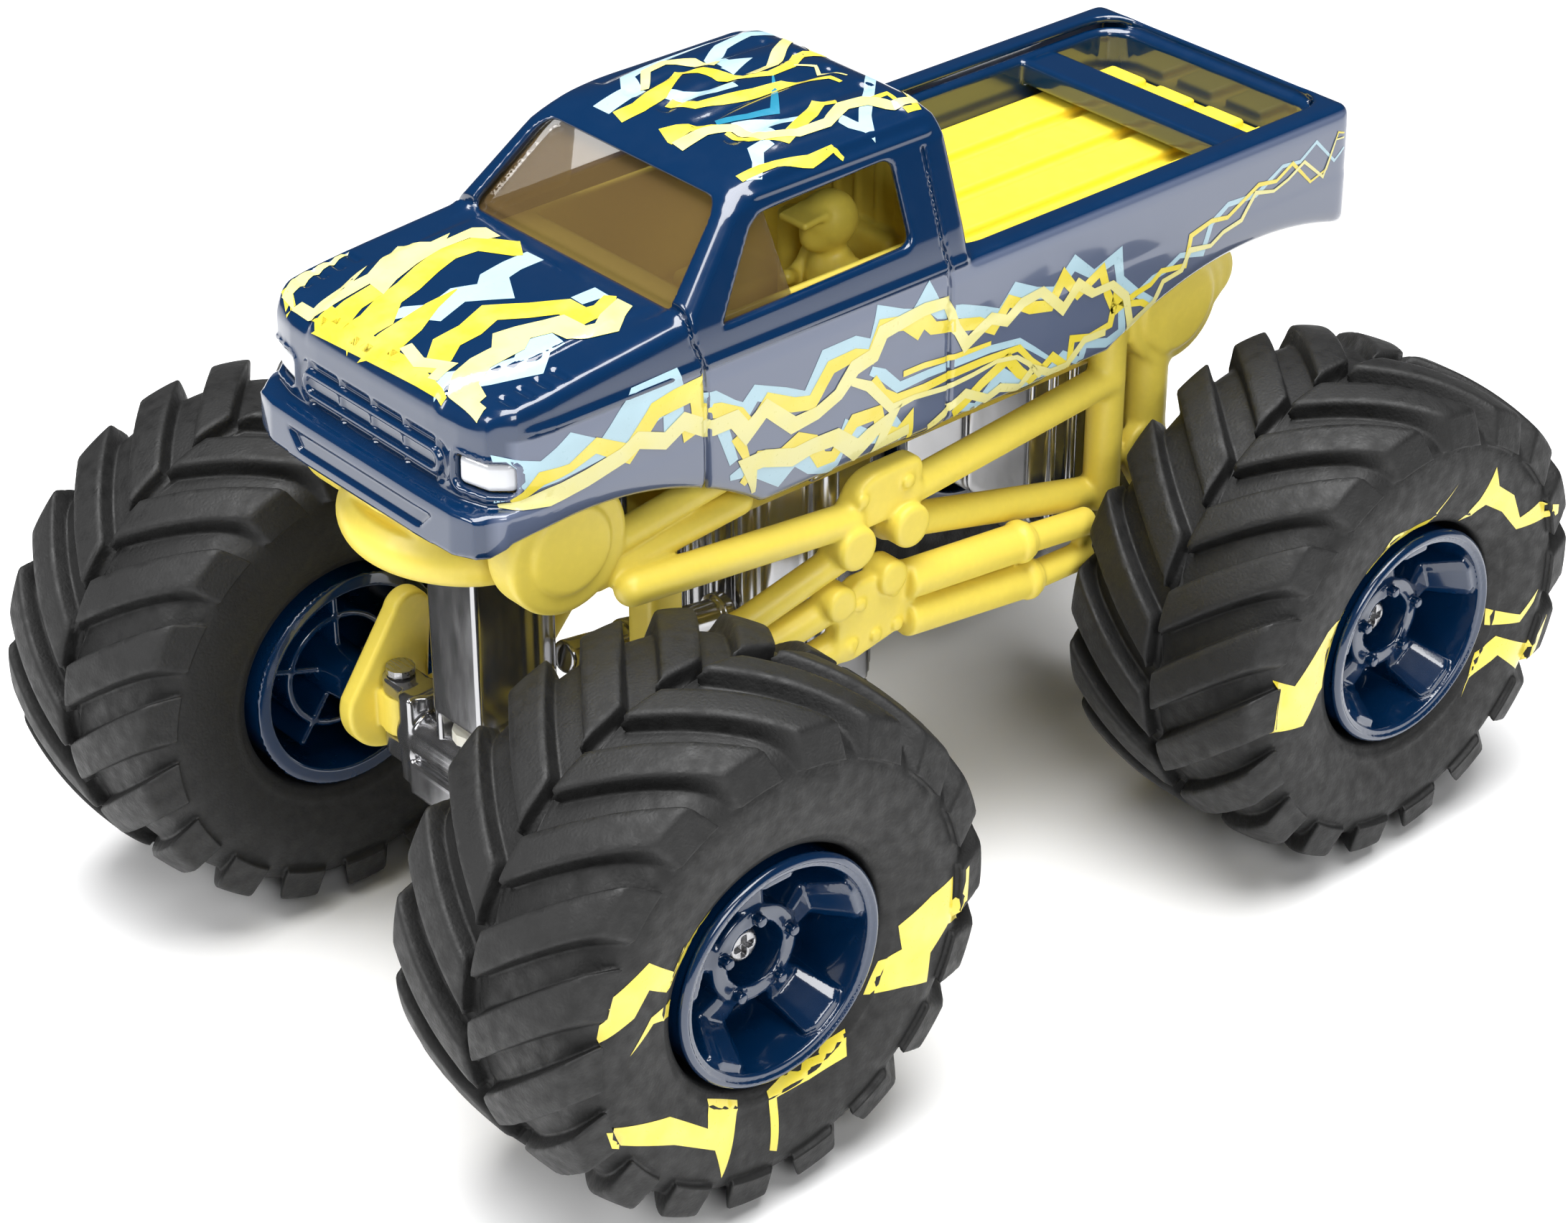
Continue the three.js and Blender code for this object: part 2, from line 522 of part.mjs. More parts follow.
// ---------------------------------------------------------------- wheels
// Each wheel is drawn at its own centre with +X pointing away from the truck.
// A toothed ring. Its tread bars point forward in the middle and trail back towards both shoulders.
function tyre() {
  const step = (Math.PI * 2) / LUGS_PER_ROW;
  const points = [];
  for (let i = 0; i < LUGS_PER_ROW; i++) {
    for (const [turn, radius] of [[-0.32, TREAD_BASE_R], [-0.3, TYRE_R], [0.3, TYRE_R], [0.32, TREAD_BASE_R]]) {
      const angle = (i + turn + 0.2) * step;
      points.push(new THREE.Vector2(radius * Math.cos(angle), radius * Math.sin(angle)));
    }
  }
  const outline = new THREE.Shape(points);
  outline.holes.push(new THREE.Path().absarc(0, 0, TYRE_BEAD_R, 0, Math.PI * 2, true));
  const depth = 2 * TYRE_HALF_W;
  const geometry = new THREE.ExtrudeGeometry(outline, { depth, steps: 2, bevelEnabled: false, curveSegments: 8 });
  const place = geometry.attributes.position;
  for (let i = 0; i < place.count; i++) {
    const [x, y, z] = [place.getX(i), place.getY(i), place.getZ(i) - TYRE_HALF_W];
    const far = Math.abs(z) / TYRE_HALF_W;
    const outer = Math.hypot(x, y) > TYRE_BEAD_R * 1.5 ? far : 0;
    const radius = Math.hypot(x, y) * (1 - outer * (1 - TYRE_SHOULDER_R / TYRE_R));
    const angle = Math.atan2(y, x) - outer * step * LUG_SLANT;
    place.setXYZ(i, z, radius * Math.cos(angle), radius * Math.sin(angle));
  }
  return solid(geometry);
}

function rim() {
  const barrel = turned([
    [19.4, -20.9], [19.4, 20.6], [RIM_R, RIM_LIP_X], [18.6, RIM_LIP_X], [16.8, 8],
    [17, -RIM_LIP_X], [RIM_R + 0.4, -RIM_LIP_X], [19.4, -20.9],
  ], 16);
  const disc = turned([[0, 3], [17.4, 1], [17.4, 5], [8, 11], [8, 16.4], [0, 16.4]], 16);
  const tube = turned([[0, -26.9], [4.6, -26.9], [4.6, 4], [0, 4]], 8);
  const parts = [];
  for (let i = 0; i < 5; i++) {
    const spoke = prism('Y', [[16, 6], [8.4, 17.2], [3, 17.2], [3, 6]], -3.4, 3.4);
    parts.push(spoke.rotate([i * 72, 0, 0]));
  }
  const bore = rod([-30, 0, 0], [20, 0, 0], SPINDLE_R + 0.15, 8);
  const cup = rod([10, 0, 0], [20, 0, 0], 4.2, 8);
  return difference(union(barrel, disc, tube, ...parts), bore, cup);
}

function wheelScrew() {
  const head = turned([[0, 10.3], [3.4, 10.3], [3.4, 11.6], [2.4, 12.4], [0, 12.4]], 10);
  return head.add(rod([5.4, 0, 0], [10.6, 0, 0], 0.8, 6));
}

const SHARED = { tyre: tyre(), rim: rim(), screw: wheelScrew() };

function wheel(place, side, y) {
  const hub = new THREE.Group();
  hub.position.set(side * TRACK_HALF, y, AXLE_Z);
  const sided = (shape) => (side > 0 ? shape : mirrored(shape));
  piece(`tyre_${place}`, sided(SHARED.tyre), RUBBER, hub);
  piece(`rim_${place}`, sided(SHARED.rim), NAVY, hub);
  piece(`wheel_screw_${place}`, sided(SHARED.screw), STEEL, hub);
  truck.add(hub);
}

function spindle() {
  const shaft = rod([23.9, FRONT_Y, AXLE_Z], [TRACK_HALF + 10, FRONT_Y, AXLE_Z], SPINDLE_R, 12);
  return difference(shaft, rod([TRACK_HALF + 5, FRONT_Y, AXLE_Z], [TRACK_HALF + 11, FRONT_Y, AXLE_Z], 1, 8));
}

function rearShaft() {
  const end = TRACK_HALF + 10;
  const shaft = rod([-end, REAR_Y, AXLE_Z], [end, REAR_Y, AXLE_Z], SPINDLE_R, 12);
  return difference(shaft, bothSides(rod([end - 5, REAR_Y, AXLE_Z], [end + 1, REAR_Y, AXLE_Z], 1, 8)));
}

// ---------------------------------------------------------------- gear train
const IDLER_REACH = (GEAR_MODULE * (AXLE_GEAR_TEETH + IDLER_SMALL_TEETH)) / 2;
const MOTOR_REACH = (GEAR_MODULE * (IDLER_BIG_TEETH + PINION_TEETH)) / 2;
const IDLER_ANGLE = 140;
const MOTOR_ANGLE = 130;

function stepFrom([y, z], angle, reach) {
  const turn = THREE.MathUtils.degToRad(angle);
  return [y + reach * Math.cos(turn), z + reach * Math.sin(turn)];
}

const AXLE = [REAR_Y, AXLE_Z];
const IDLER = stepFrom(AXLE, IDLER_ANGLE, IDLER_REACH);
const MOTOR = stepFrom(IDLER, MOTOR_ANGLE, MOTOR_REACH);

// A spur gear about the X axis. One tooth, or one gap, points at the angle given.
function gear(centre, teeth, x0, x1, angle, pointing = 'tooth') {
  const pitchRadius = (GEAR_MODULE * teeth) / 2;
  const step = 360 / teeth;
  const start = angle + (pointing === 'gap' ? step / 2 : 0);
  const outline = [];
  for (let i = 0; i < teeth; i++) {
    const middle = start + i * step;
    const corners = [[-0.29, -1.2], [-0.12, 0.75], [0.12, 0.75], [0.29, -1.2]];
    for (const [turn, height] of corners) {
      outline.push(stepFrom([0, 0], middle + turn * step, pitchRadius + height * GEAR_MODULE));
    }
  }
  return prism('X', outline, x0, x1).translate([0, ...centre]);
}

function axleGear() {
  const hub = rod([3.4, ...AXLE], [8.6, ...AXLE], 4, 16);
  const bore = rod([0, ...AXLE], [12, ...AXLE], SPINDLE_R + 0.05, 12);
  return difference(gear(AXLE, AXLE_GEAR_TEETH, 5, 8.4, IDLER_ANGLE).add(hub), bore);
}

function idlerGear() {
  const small = gear(IDLER, IDLER_SMALL_TEETH, 4.8, 9.6, IDLER_ANGLE + 180, 'gap');
  const big = gear(IDLER, IDLER_BIG_TEETH, 9.2, 11.8, MOTOR_ANGLE);
  return difference(small.add(big), rod([0, ...IDLER], [14, ...IDLER], 1.28, 12));
}

function motorPinion() {
  const teeth = gear(MOTOR, PINION_TEETH, 9, 12.8, MOTOR_ANGLE + 180, 'gap');
  return teeth.add(rod([4.9, ...MOTOR], [13.6, ...MOTOR], 0.9, 12));
}

function driveMotor() {
  const can = rod([-13.6, ...MOTOR], [3.4, ...MOTOR], 7.4, 20);
  const nose = rod([3, ...MOTOR], [4.6, ...MOTOR], 2.6, 14);
  const terminals = union(
    block(-14, -12.6, MOTOR[0] - 5, MOTOR[0] - 3.6, MOTOR[1] + 5, MOTOR[1] + 9),
    block(-14, -12.6, MOTOR[0] + 3.6, MOTOR[0] + 5, MOTOR[1] + 5, MOTOR[1] + 9),
  );
  return difference(union(can, nose, terminals), rod([2, ...MOTOR], [6, ...MOTOR], 1.1, 12));
}

const GEARBOX = [[38, 53], [49, 52], [59.5, 32], [82, 32], [85.2, 37], [85.2, 52], [76, 58], [64, 66], [60, 84], [38, 84]];
const GEARBOX_HALF = 16;

function gearboxHalf(side) {
  const outer = prism('X', rounded(GEARBOX, 3, 3), 0.15, GEARBOX_HALF);
  const inner = GEARBOX.map(([y, z]) => [61 + (y - 61) * 0.925, 58.5 + (z - 58.5) * 0.93]);
  const room = prism('X', rounded(inner, 2, 3), -1, GEARBOX_HALF - 1.6);
  const tube = rod([GEARBOX_HALF - 1, ...AXLE], [24, ...AXLE], 5, 12);
  const axleBore = rod([8, ...AXLE], [30, ...AXLE], SPINDLE_R + 0.08, 12);
  const half = difference(outer.add(tube), room, axleBore);
  if (side > 0) return half.add(rod([4.4, ...IDLER], [15, ...IDLER], 1.2, 12));
  return difference(mirrored(half), block(-9, -5, 42, 48, 78, 86));
}

// ---------------------------------------------------------------- battery case and electronics
const CELL_SPOTS = [[-5.6, -14.4], [5.6, -14.4], [-5.6, -2.9], [5.6, -2.9]];

function batteryCase() {
  const { half, front, back, bottom } = CASE;
  const outer = prism('Z', roundedBox(-half, half, front, back, 3.4), bottom, DECK_BOTTOM - GAP);
  const flutes = [-9, -3, 3, 9].flatMap((x) => [
    rod([x, front, bottom], [x, front, DECK_BOTTOM - GAP], 2.2, 6),
    rod([x, back, bottom], [x, back, DECK_BOTTOM - GAP], 2.2, 6),
  ]);
  const cheeks = bothSides(rod([half, -8.6, bottom], [half, -8.6, DECK_BOTTOM - GAP], 3.4, 6));
  const room = block(-half + 1.8, half - 1.8, front + 1.8, back - 1.8, bottom - 1, DECK_BOTTOM - 2);
  const doorSeat = block(-half + 0.8, half - 0.8, front + 0.8, back + 4, bottom - 1, bottom + 2);
  return difference(union(outer, ...flutes, cheeks), room, doorSeat, block(-3, 3, -10, -8, 78, 90));
}

function batteryCell([x, y]) {
  const bottom = CASE.bottom + 2.4;
  const can = rod([x, y, bottom], [x, y, bottom + CELL_L - 1], CELL_R, 10);
  return can.add(rod([x, y, bottom + 40], [x, y, bottom + CELL_L], 1.9, 6));
}

function batteryContacts() {
  const z = DECK_BOTTOM - 2.4;
  const plate = block(-11, 11, -19.2, 2, z - 0.5, z);
  const tabs = CELL_SPOTS.map(([x, y]) => rod([x, y, z - 0.7], [x, y, z], 2.4, 6));
  return difference(union(plate, ...tabs), block(-2.6, 2.6, -10, -8, 70, 90));
}

const DOOR = { half: 12, front: -20.2, hingeY: 2.6, hingeZ: CASE.bottom - 0.6 };

function batteryDoor() {
  const { half, front, hingeY, hingeZ } = DOOR;
  const panel = block(-half, half, front, hingeY, CASE.bottom - 1, CASE.bottom + 0.9);
  const barrel = rod([-half, hingeY, hingeZ], [half, hingeY, hingeZ], 1.1, 12);
  const boss = rod([0, -18, CASE.bottom - 1.6], [0, -18, CASE.bottom + 1], 2.4, 12);
  return difference(union(panel, barrel, boss), rod([0, -18, 25], [0, -18, 45], 1.3, 10));
}

function doorScrew() {
  const head = rod([0, -18, CASE.bottom - 2.9], [0, -18, CASE.bottom - 1.8], 2.1, 12);
  const shank = rod([0, -18, CASE.bottom - 2], [0, -18, CASE.bottom + 1.4], 1.1, 10);
  const z = CASE.bottom - 3.2;
  const cross = union(block(-1.2, 1.2, -18.25, -17.75, z, z + 0.9), block(-0.25, 0.25, -19.2, -16.8, z, z + 0.9));
  return difference(head.add(shank), cross);
}

function circuitBoard() {
  const board = block(-15, 15, 36, 58, 91, 92.4);
  const chip = block(-6, 4, 42, 50, 92, 94.4);
  const capacitor = rod([9, 50, 92], [9, 50, 99], 3, 14);
  const coil = rod([-10, 50, 92], [-10, 50, 95.6], 2.6, 12);
  const crystal = block(-12, -8, 39, 44, 92, 95);
  const switchBox = block(6, 14, 37, 43, 92, 95);
  const legs = [[-13, 38], [13, 38], [-13, 56], [13, 56]].map(([x, y]) => (
    rod([x, y, DECK_TOP + GAP], [x, y, 91.4], 1.5, 10)
  ));
  return union(board, chip, capacitor, coil, crystal, switchBox, ...legs);
}

function switchSlider() {
  const { x, y } = SWITCH;
  const stem = block(x - 1.5, x + 1.5, y - 1.5, y + 1.5, DECK_BOTTOM - 1.6, DECK_TOP + 0.6);
  const cap = block(x - 3, x + 3, y - 2.4, y + 2.4, DECK_TOP + 0.3, DECK_TOP + 1.6);
  return stem.add(cap);
}

function bodyScrew(x, y) {
  const head = rod([x, y, DECK_BOTTOM - 1.9], [x, y, DECK_BOTTOM - 0.3], 2.3, 12);
  const shank = rod([x, y, DECK_BOTTOM - 1], [x, y, DECK_TOP + 8], 0.95, 8);
  return head.add(shank);
}

// ---------------------------------------------------------------- plated trim
function exhaustPipe() {
  const route = [[24.6, -22, 91], [24.8, -12, 92.4], [25, 2, 90.6], [25, 14, 92.4], [25.2, 26, 90.8], [25, 37, 92.4]];
  return tubeAlong(route, 1.5, 14);
}

function driveShaft() {
  const shaft = rod([7, -59.2, 62.4], [7, -24.2, 57], 2.9, 14);
  const rings = [0.3, 0.9].map((t) => {
    const y = -56.6 + 32.4 * t;
    const z = 62 - 5 * t;
    return rod([7, y, z], [7, y + 2.6, z - 0.4], 3.7, 14);
  });
  return union(shaft, ...rings);
}

// ---------------------------------------------------------------- assembly
piece('body_shell', bodyShell(), NAVY);
piece('windshield', windshield(), SMOKE);
pair('headlight', headlight(), LENS);
piece('interior_tray', interiorTray(), YELLOW);
piece('driver_figure', driverFigure(), YELLOW);
piece('bed_floor', bedFloor(), BRIGHT_YELLOW);
piece('chassis_deck', chassisDeck(), YELLOW);
pair('side_frame', sideFrame(), YELLOW);
pair('link_set', linkSet(), YELLOW);
piece('front_bumper', frontBumper(), YELLOW);
pair('exhaust_pipe', exhaustPipe(), SILVER);
piece('drive_shaft', driveShaft(), SILVER);

piece('front_housing', frontHousing(), SILVER);
piece('front_axle_beam', frontAxleBeam(), SILVER);
pair('kingpin', kingpin(), STEEL);
pair('knuckle', knuckle(), YELLOW);
pair('spindle', spindle(), STEEL);
piece('tie_rod', tieRod(), BLACK);
piece('steering_servo', steeringServo(), BLACK);
piece('servo_arm', servoArm(), WHITE);

wheel('front_left', 1, FRONT_Y);
wheel('front_right', -1, FRONT_Y);
wheel('rear_left', 1, REAR_Y);
wheel('rear_right', -1, REAR_Y);

piece('gearbox_left', gearboxHalf(1), SILVER);
piece('gearbox_right', gearboxHalf(-1), SILVER);
piece('rear_axle_shaft', rearShaft(), STEEL);
piece('axle_gear', axleGear(), WHITE);
piece('idler_gear', idlerGear(), WHITE);
piece('drive_motor', driveMotor(), STEEL);
piece('motor_pinion', motorPinion(), BRASS);

piece('battery_case', batteryCase(), SILVER);
CELL_SPOTS.forEach((spot, i) => piece(`battery_cell_${i + 1}`, batteryCell(spot), CELL));
piece('battery_contacts', batteryContacts(), BRASS);
piece('battery_door', batteryDoor(), BLACK);
piece('battery_door_screw', doorScrew(), STEEL);
piece('circuit_board', circuitBoard(), GREEN);
piece('switch_slider', switchSlider(), BLACK);
[NOSE_SCREW, TAIL_SCREW].forEach(({ x, y }, i) => {
  piece(`body_screw_${2 * i + 1}`, bodyScrew(x, y), STEEL);
  piece(`body_screw_${2 * i + 2}`, bodyScrew(-x, y), STEEL);
});

export default truck;
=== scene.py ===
"""Looks for a radio-controlled monster truck: moulded shapes, printed bolts, materials, light and camera."""
import math

import bmesh
import bpy
import numpy as np
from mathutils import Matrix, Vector
from mathutils.bvhtree import BVHTree


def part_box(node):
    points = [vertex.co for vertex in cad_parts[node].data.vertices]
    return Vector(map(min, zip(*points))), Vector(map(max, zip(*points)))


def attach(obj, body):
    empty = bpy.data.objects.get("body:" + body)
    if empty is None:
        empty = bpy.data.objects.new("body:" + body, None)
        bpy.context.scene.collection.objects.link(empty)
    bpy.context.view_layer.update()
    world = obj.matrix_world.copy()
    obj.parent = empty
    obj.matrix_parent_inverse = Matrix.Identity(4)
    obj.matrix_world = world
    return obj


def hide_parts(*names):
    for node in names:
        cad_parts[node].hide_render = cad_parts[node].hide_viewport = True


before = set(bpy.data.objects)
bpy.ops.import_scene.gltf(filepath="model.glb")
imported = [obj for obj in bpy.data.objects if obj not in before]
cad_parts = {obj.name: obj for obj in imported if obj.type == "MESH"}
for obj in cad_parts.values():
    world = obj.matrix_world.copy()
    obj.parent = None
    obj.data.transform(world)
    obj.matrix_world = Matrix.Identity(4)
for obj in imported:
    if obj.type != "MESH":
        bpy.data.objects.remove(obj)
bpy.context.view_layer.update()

MM = 0.001

# ---------------------------------------------------------------- places read from the frame, in millimetres


def node_box(name):
    low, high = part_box(name)
    return np.array(low) / MM, np.array(high) / MM


def middle(name):
    low, high = node_box(name)
    return (low + high) / 2


WHEELS = {
    "front_left": "front_left_wheel",
    "front_right": "front_right_wheel",
    "rear_left": "rear_axle",
    "rear_right": "rear_axle",
}
WHEEL_CENTRE = {place: middle("tyre_" + place) for place in WHEELS}
FRONT_Y = WHEEL_CENTRE["front_left"][1]
REAR_Y = WHEEL_CENTRE["rear_left"][1]
AXLE_Z = WHEEL_CENTRE["front_left"][2]
BODY_LOW, BODY_HIGH = node_box("body_shell")
BODY_HALF = BODY_HIGH[0]
NOSE_Y = BODY_LOW[1]
TAIL_Y = BODY_HIGH[1]
ROOF_Z = BODY_HIGH[2]
FLOOR_LOW, FLOOR_HIGH = node_box("bed_floor")

SILL_Z = 93.0
CREASE_Z = 120.5
RAIL_Z = 121.4
LEDGE_Z = 109.4
SKIN = 1.6
CAB_BACK_Y = 8.0
BED_HALF = 24.6
BED_FRONT_Y = 10.0
BED_END_Y = 97.0
BED_FLOOR_Z = FLOOR_HIGH[2] - 0.8

# ---------------------------------------------------------------- distance functions
# Each takes x, y, z arrays in millimetres and gives the distance to a shape, negative inside it.


def smax(a, b, k):
    """The larger of two distances, with the edge between them rounded by about k."""
    h = np.maximum(k - np.abs(a - b), 0) / k
    return np.maximum(a, b) + h * h * k * 0.25


def smin(a, b, k):
    return -smax(-a, -b, k)


def join(parts, k):
    total = parts[0]
    for part in parts[1:]:
        total = smin(total, part, k)
    return total


def smooth(t):
    t = np.clip(t, 0, 1)
    return t * t * (3 - 2 * t)


def polygon(points):
    """The signed distance to a closed outline in a plane."""
    pairs = list(zip(points, points[1:] + points[:1]))

    def distance(u, v):
        best = None
        inside = np.zeros(np.broadcast(u, v).shape, bool)
        for (ax, ay), (bx, by) in pairs:
            ex, ey = bx - ax, by - ay
            wx, wy = u - ax, v - ay
            t = np.clip((wx * ex + wy * ey) / (ex * ex + ey * ey), 0, 1)
            d = (wx - ex * t) ** 2 + (wy - ey * t) ** 2
            best = d if best is None else np.minimum(best, d)
            above, below = v >= ay, v < by
            left = ex * wy > ey * wx
            inside ^= (above & below & left) | (~above & ~below & ~left)
        return np.where(inside, -1.0, 1.0) * np.sqrt(best)

    return distance


def slab(value, low, high):
    return np.maximum(low - value, value - high)


def box(x, y, z, low, high, r=0.5):
    """A box with edges rounded by r."""
    dx = slab(x, low[0], high[0]) + r
    dy = slab(y, low[1], high[1]) + r
    dz = slab(z, low[2], high[2]) + r
    outside = np.sqrt(np.maximum(dx, 0) ** 2 + np.maximum(dy, 0) ** 2 + np.maximum(dz, 0) ** 2)
    return outside + np.minimum(np.maximum(np.maximum(dx, dy), dz), 0) - r


def tube(x, y, z, a, b, r, end_r=None):
    """A round bar between two points, with round ends."""
    end_r = r if end_r is None else end_r
    ab = [b[i] - a[i] for i in range(3)]
    t = ((x - a[0]) * ab[0] + (y - a[1]) * ab[1] + (z - a[2]) * ab[2]) / sum(c * c for c in ab)
    t = np.clip(t, 0, 1)
    gap = (x - a[0] - ab[0] * t) ** 2 + (y - a[1] - ab[1] * t) ** 2 + (z - a[2] - ab[2] * t) ** 2
    return np.sqrt(gap) - (r + (end_r - r) * t)


def rod(x, y, z, a, b, r, k=0.6):
    """A round bar between two points, with flat ends."""
    ab = np.array(b, float) - np.array(a, float)
    length = math.sqrt(float(ab @ ab))
    ab = ab / length
    t = (x - a[0]) * ab[0] + (y - a[1]) * ab[1] + (z - a[2]) * ab[2]
    gap = (x - a[0] - ab[0] * t) ** 2 + (y - a[1] - ab[1] * t) ** 2 + (z - a[2] - ab[2] * t) ** 2
    return smax(np.sqrt(gap) - r, slab(t, 0, length), k)


def disc(x, y, z, centre, r, x0, x1, k=0.6):
    """A round boss standing along X."""
    radial = np.sqrt((y - centre[0]) ** 2 + (z - centre[1]) ** 2) - r
    return smax(radial, slab(x, x0, x1), k)


def post(x, y, z, at, r, low, high):
    """A sharp-edged round bar standing along Z."""
    return np.maximum(np.sqrt((x - at[0]) ** 2 + (y - at[1]) ** 2) - r, slab(z, low, high))


def arc(centre, r, start, end, steps):
    angles = np.radians(np.linspace(start, end, steps + 1))
    return [(centre[0] + r * math.cos(a), centre[1] + r * math.sin(a)) for a in angles]


# ---------------------------------------------------------------- surfaces from distance functions
CORNERS = [(i, j, k) for i in (0, 1) for j in (0, 1) for k in (0, 1)]
EDGES = [(a, b) for a in range(8) for b in range(a + 1, 8)
         if sum(abs(p - q) for p, q in zip(CORNERS[a], CORNERS[b])) == 1]


def steps(low, high, size):
    return np.linspace(low, high, max(2, int(round((high - low) / size)) + 1))


def net(shape, axes, wrap=False):
    """Points and quads of the surface where shape is zero, on a grid. wrap closes the first axis on itself."""
    xs, ys, zs = axes
    values = shape(xs[:, None, None], ys[None, :, None], zs[None, None, :])
    values = np.array(np.broadcast_to(values, (len(xs), len(ys), len(zs))), np.float32)
    inside = values < 0
    near = [inside[i:len(xs) - 1 + i, j:len(ys) - 1 + j, k:len(zs) - 1 + k] for i, j, k in CORNERS]
    count = sum(part.astype(np.int8) for part in near)
    cells = np.array(np.nonzero((count > 0) & (count < 8)))
    index = np.full(count.shape, -1, np.int64)
    index[tuple(cells)] = np.arange(cells.shape[1])
    corner_values = [values[cells[0] + i, cells[1] + j, cells[2] + k] for i, j, k in CORNERS]
    total = np.zeros((cells.shape[1], 3))
    weight = np.zeros(cells.shape[1])
    for a, b in EDGES:
        va, vb = corner_values[a], corner_values[b]
        crosses = (va < 0) != (vb < 0)
        t = np.where(crosses, va / np.where(crosses, va - vb, 1), 0)
        pa, pb = np.array(CORNERS[a]), np.array(CORNERS[b])
        total += np.where(crosses[:, None], pa + (pb - pa) * t[:, None], 0)
        weight += crosses
    grid = cells.T + total / weight[:, None]
    points = np.stack([np.interp(grid[:, i], np.arange(len(axes[i])), axes[i]) for i in range(3)], 1)

    quads = []
    for axis in range(3):
        after = [slice(None)] * 3
        before = [slice(None)] * 3
        after[axis], before[axis] = slice(1, None), slice(None, -1)
        crossing = inside[tuple(before)] != inside[tuple(after)]
        at = np.array(np.nonzero(crossing))
        u, v = (axis + 1) % 3, (axis + 2) % 3
        keep = np.ones(at.shape[1], bool)
        for other in (u, v):
            last = len(axes[other]) - 1
            if wrap and other == 0:
                keep &= at[other] < last
            else:
                keep &= (at[other] > 0) & (at[other] < last)
        at = at[:, keep]
        outward = inside[tuple(at)]
        ring = []
        for du, dv in ((1, 1), (0, 1), (0, 0), (1, 0)):
            cell = at.copy()
            cell[u] -= du
            cell[v] -= dv
            if wrap:
                cell[0] %= len(xs) - 1
            ring.append(index[tuple(cell)])
        ring = np.stack(ring, 1)
        quads.append(np.where(outward[:, None], ring, ring[:, ::-1]))
    return points, np.concatenate(quads)


def settle(shape, points, reach, rounds=3):
    """Moves each point onto the zero surface along the slope."""
    e = 0.02
    for _ in range(rounds):
        x, y, z = points.T
        value = shape(x, y, z)
        slope = np.stack([
            shape(x + e, y, z) - shape(x - e, y, z),
            shape(x, y + e, z) - shape(x, y - e, z),
            shape(x, y, z + e) - shape(x, y, z - e),
        ], 1) / (2 * e)
        size = np.maximum((slope ** 2).sum(1), 0.05)
        move = slope * (value / size)[:, None]
        length = np.sqrt((move ** 2).sum(1))
        points = points - move * np.minimum(1, reach / np.maximum(length, 1e-9))[:, None]
    return points


def in_scene(name, data):
    thing = bpy.data.objects.new(name, data)
    bpy.context.collection.objects.link(thing)
    return thing


def mesh_object(name, points, faces, material):
    data = bpy.data.meshes.new(name)
    data.vertices.add(len(points))
    data.vertices.foreach_set("co", (np.asarray(points, float) * MM).ravel())
    faces = np.asarray(faces, np.int32)
    size = faces.shape[1]
    data.loops.add(faces.size)
    data.loops.foreach_set("vertex_index", faces.ravel())
    data.polygons.add(len(faces))
    data.polygons.foreach_set("loop_start", np.arange(0, faces.size, size, dtype=np.int32))
    data.polygons.foreach_set("use_smooth", np.ones(len(faces), bool))
    data.update(calc_edges=True)
    data.validate()
    data.materials.append(material)
    return in_scene(name, data)


def moulded(shape, low, high, size):
    """Points and quads of a shape inside a box, on a grid of the given spacing."""
    pad = size * 2
    axes = [steps(low[i] - pad, high[i] + pad, size) for i in range(3)]
    points, quads = net(shape, axes)
    for _ in range(3):
        points = settle(shape, relaxed(points, quads), size, 2)
    return points, quads


def relaxed(points, quads):
    """Each point moved half way to the middle of its neighbours, which evens out the net."""
    count = np.bincount(quads.ravel(), minlength=len(points)) * 2.0
    total = np.zeros_like(points)
    for step in (1, 3):
        beside = np.roll(quads, step, 1)
        for axis in range(3):
            total[:, axis] += np.bincount(quads.ravel(), points[beside.ravel(), axis], minlength=len(points))
    return points * 0.5 + total / np.maximum(count, 1)[:, None] * 0.5


def flip(points, quads):
    return points * np.array([-1, 1, 1]), quads[:, ::-1]


def place(name, geometry, material, body, slot, replaced=()):
    thing = mesh_object(name, *geometry, material)
    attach(thing, body)
    if replaced:
        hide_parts(*replaced)
    return thing


def place_pair(name, geometry, material, bodies, slot):
    place(f"{name}_left_look", geometry, material, bodies[0], slot, [f"{name}_left"])
    place(f"{name}_right_look", flip(*geometry), material, bodies[1], slot, [f"{name}_right"])


# ---------------------------------------------------------------- materials


def colour(r, g, b):
    """Linear colour from a display colour of 0 to 255."""
    def linear(c):
        c = c / 255
        return c / 12.92 if c <= 0.04045 else ((c + 0.055) / 1.055) ** 2.4
    return (linear(r), linear(g), linear(b), 1)


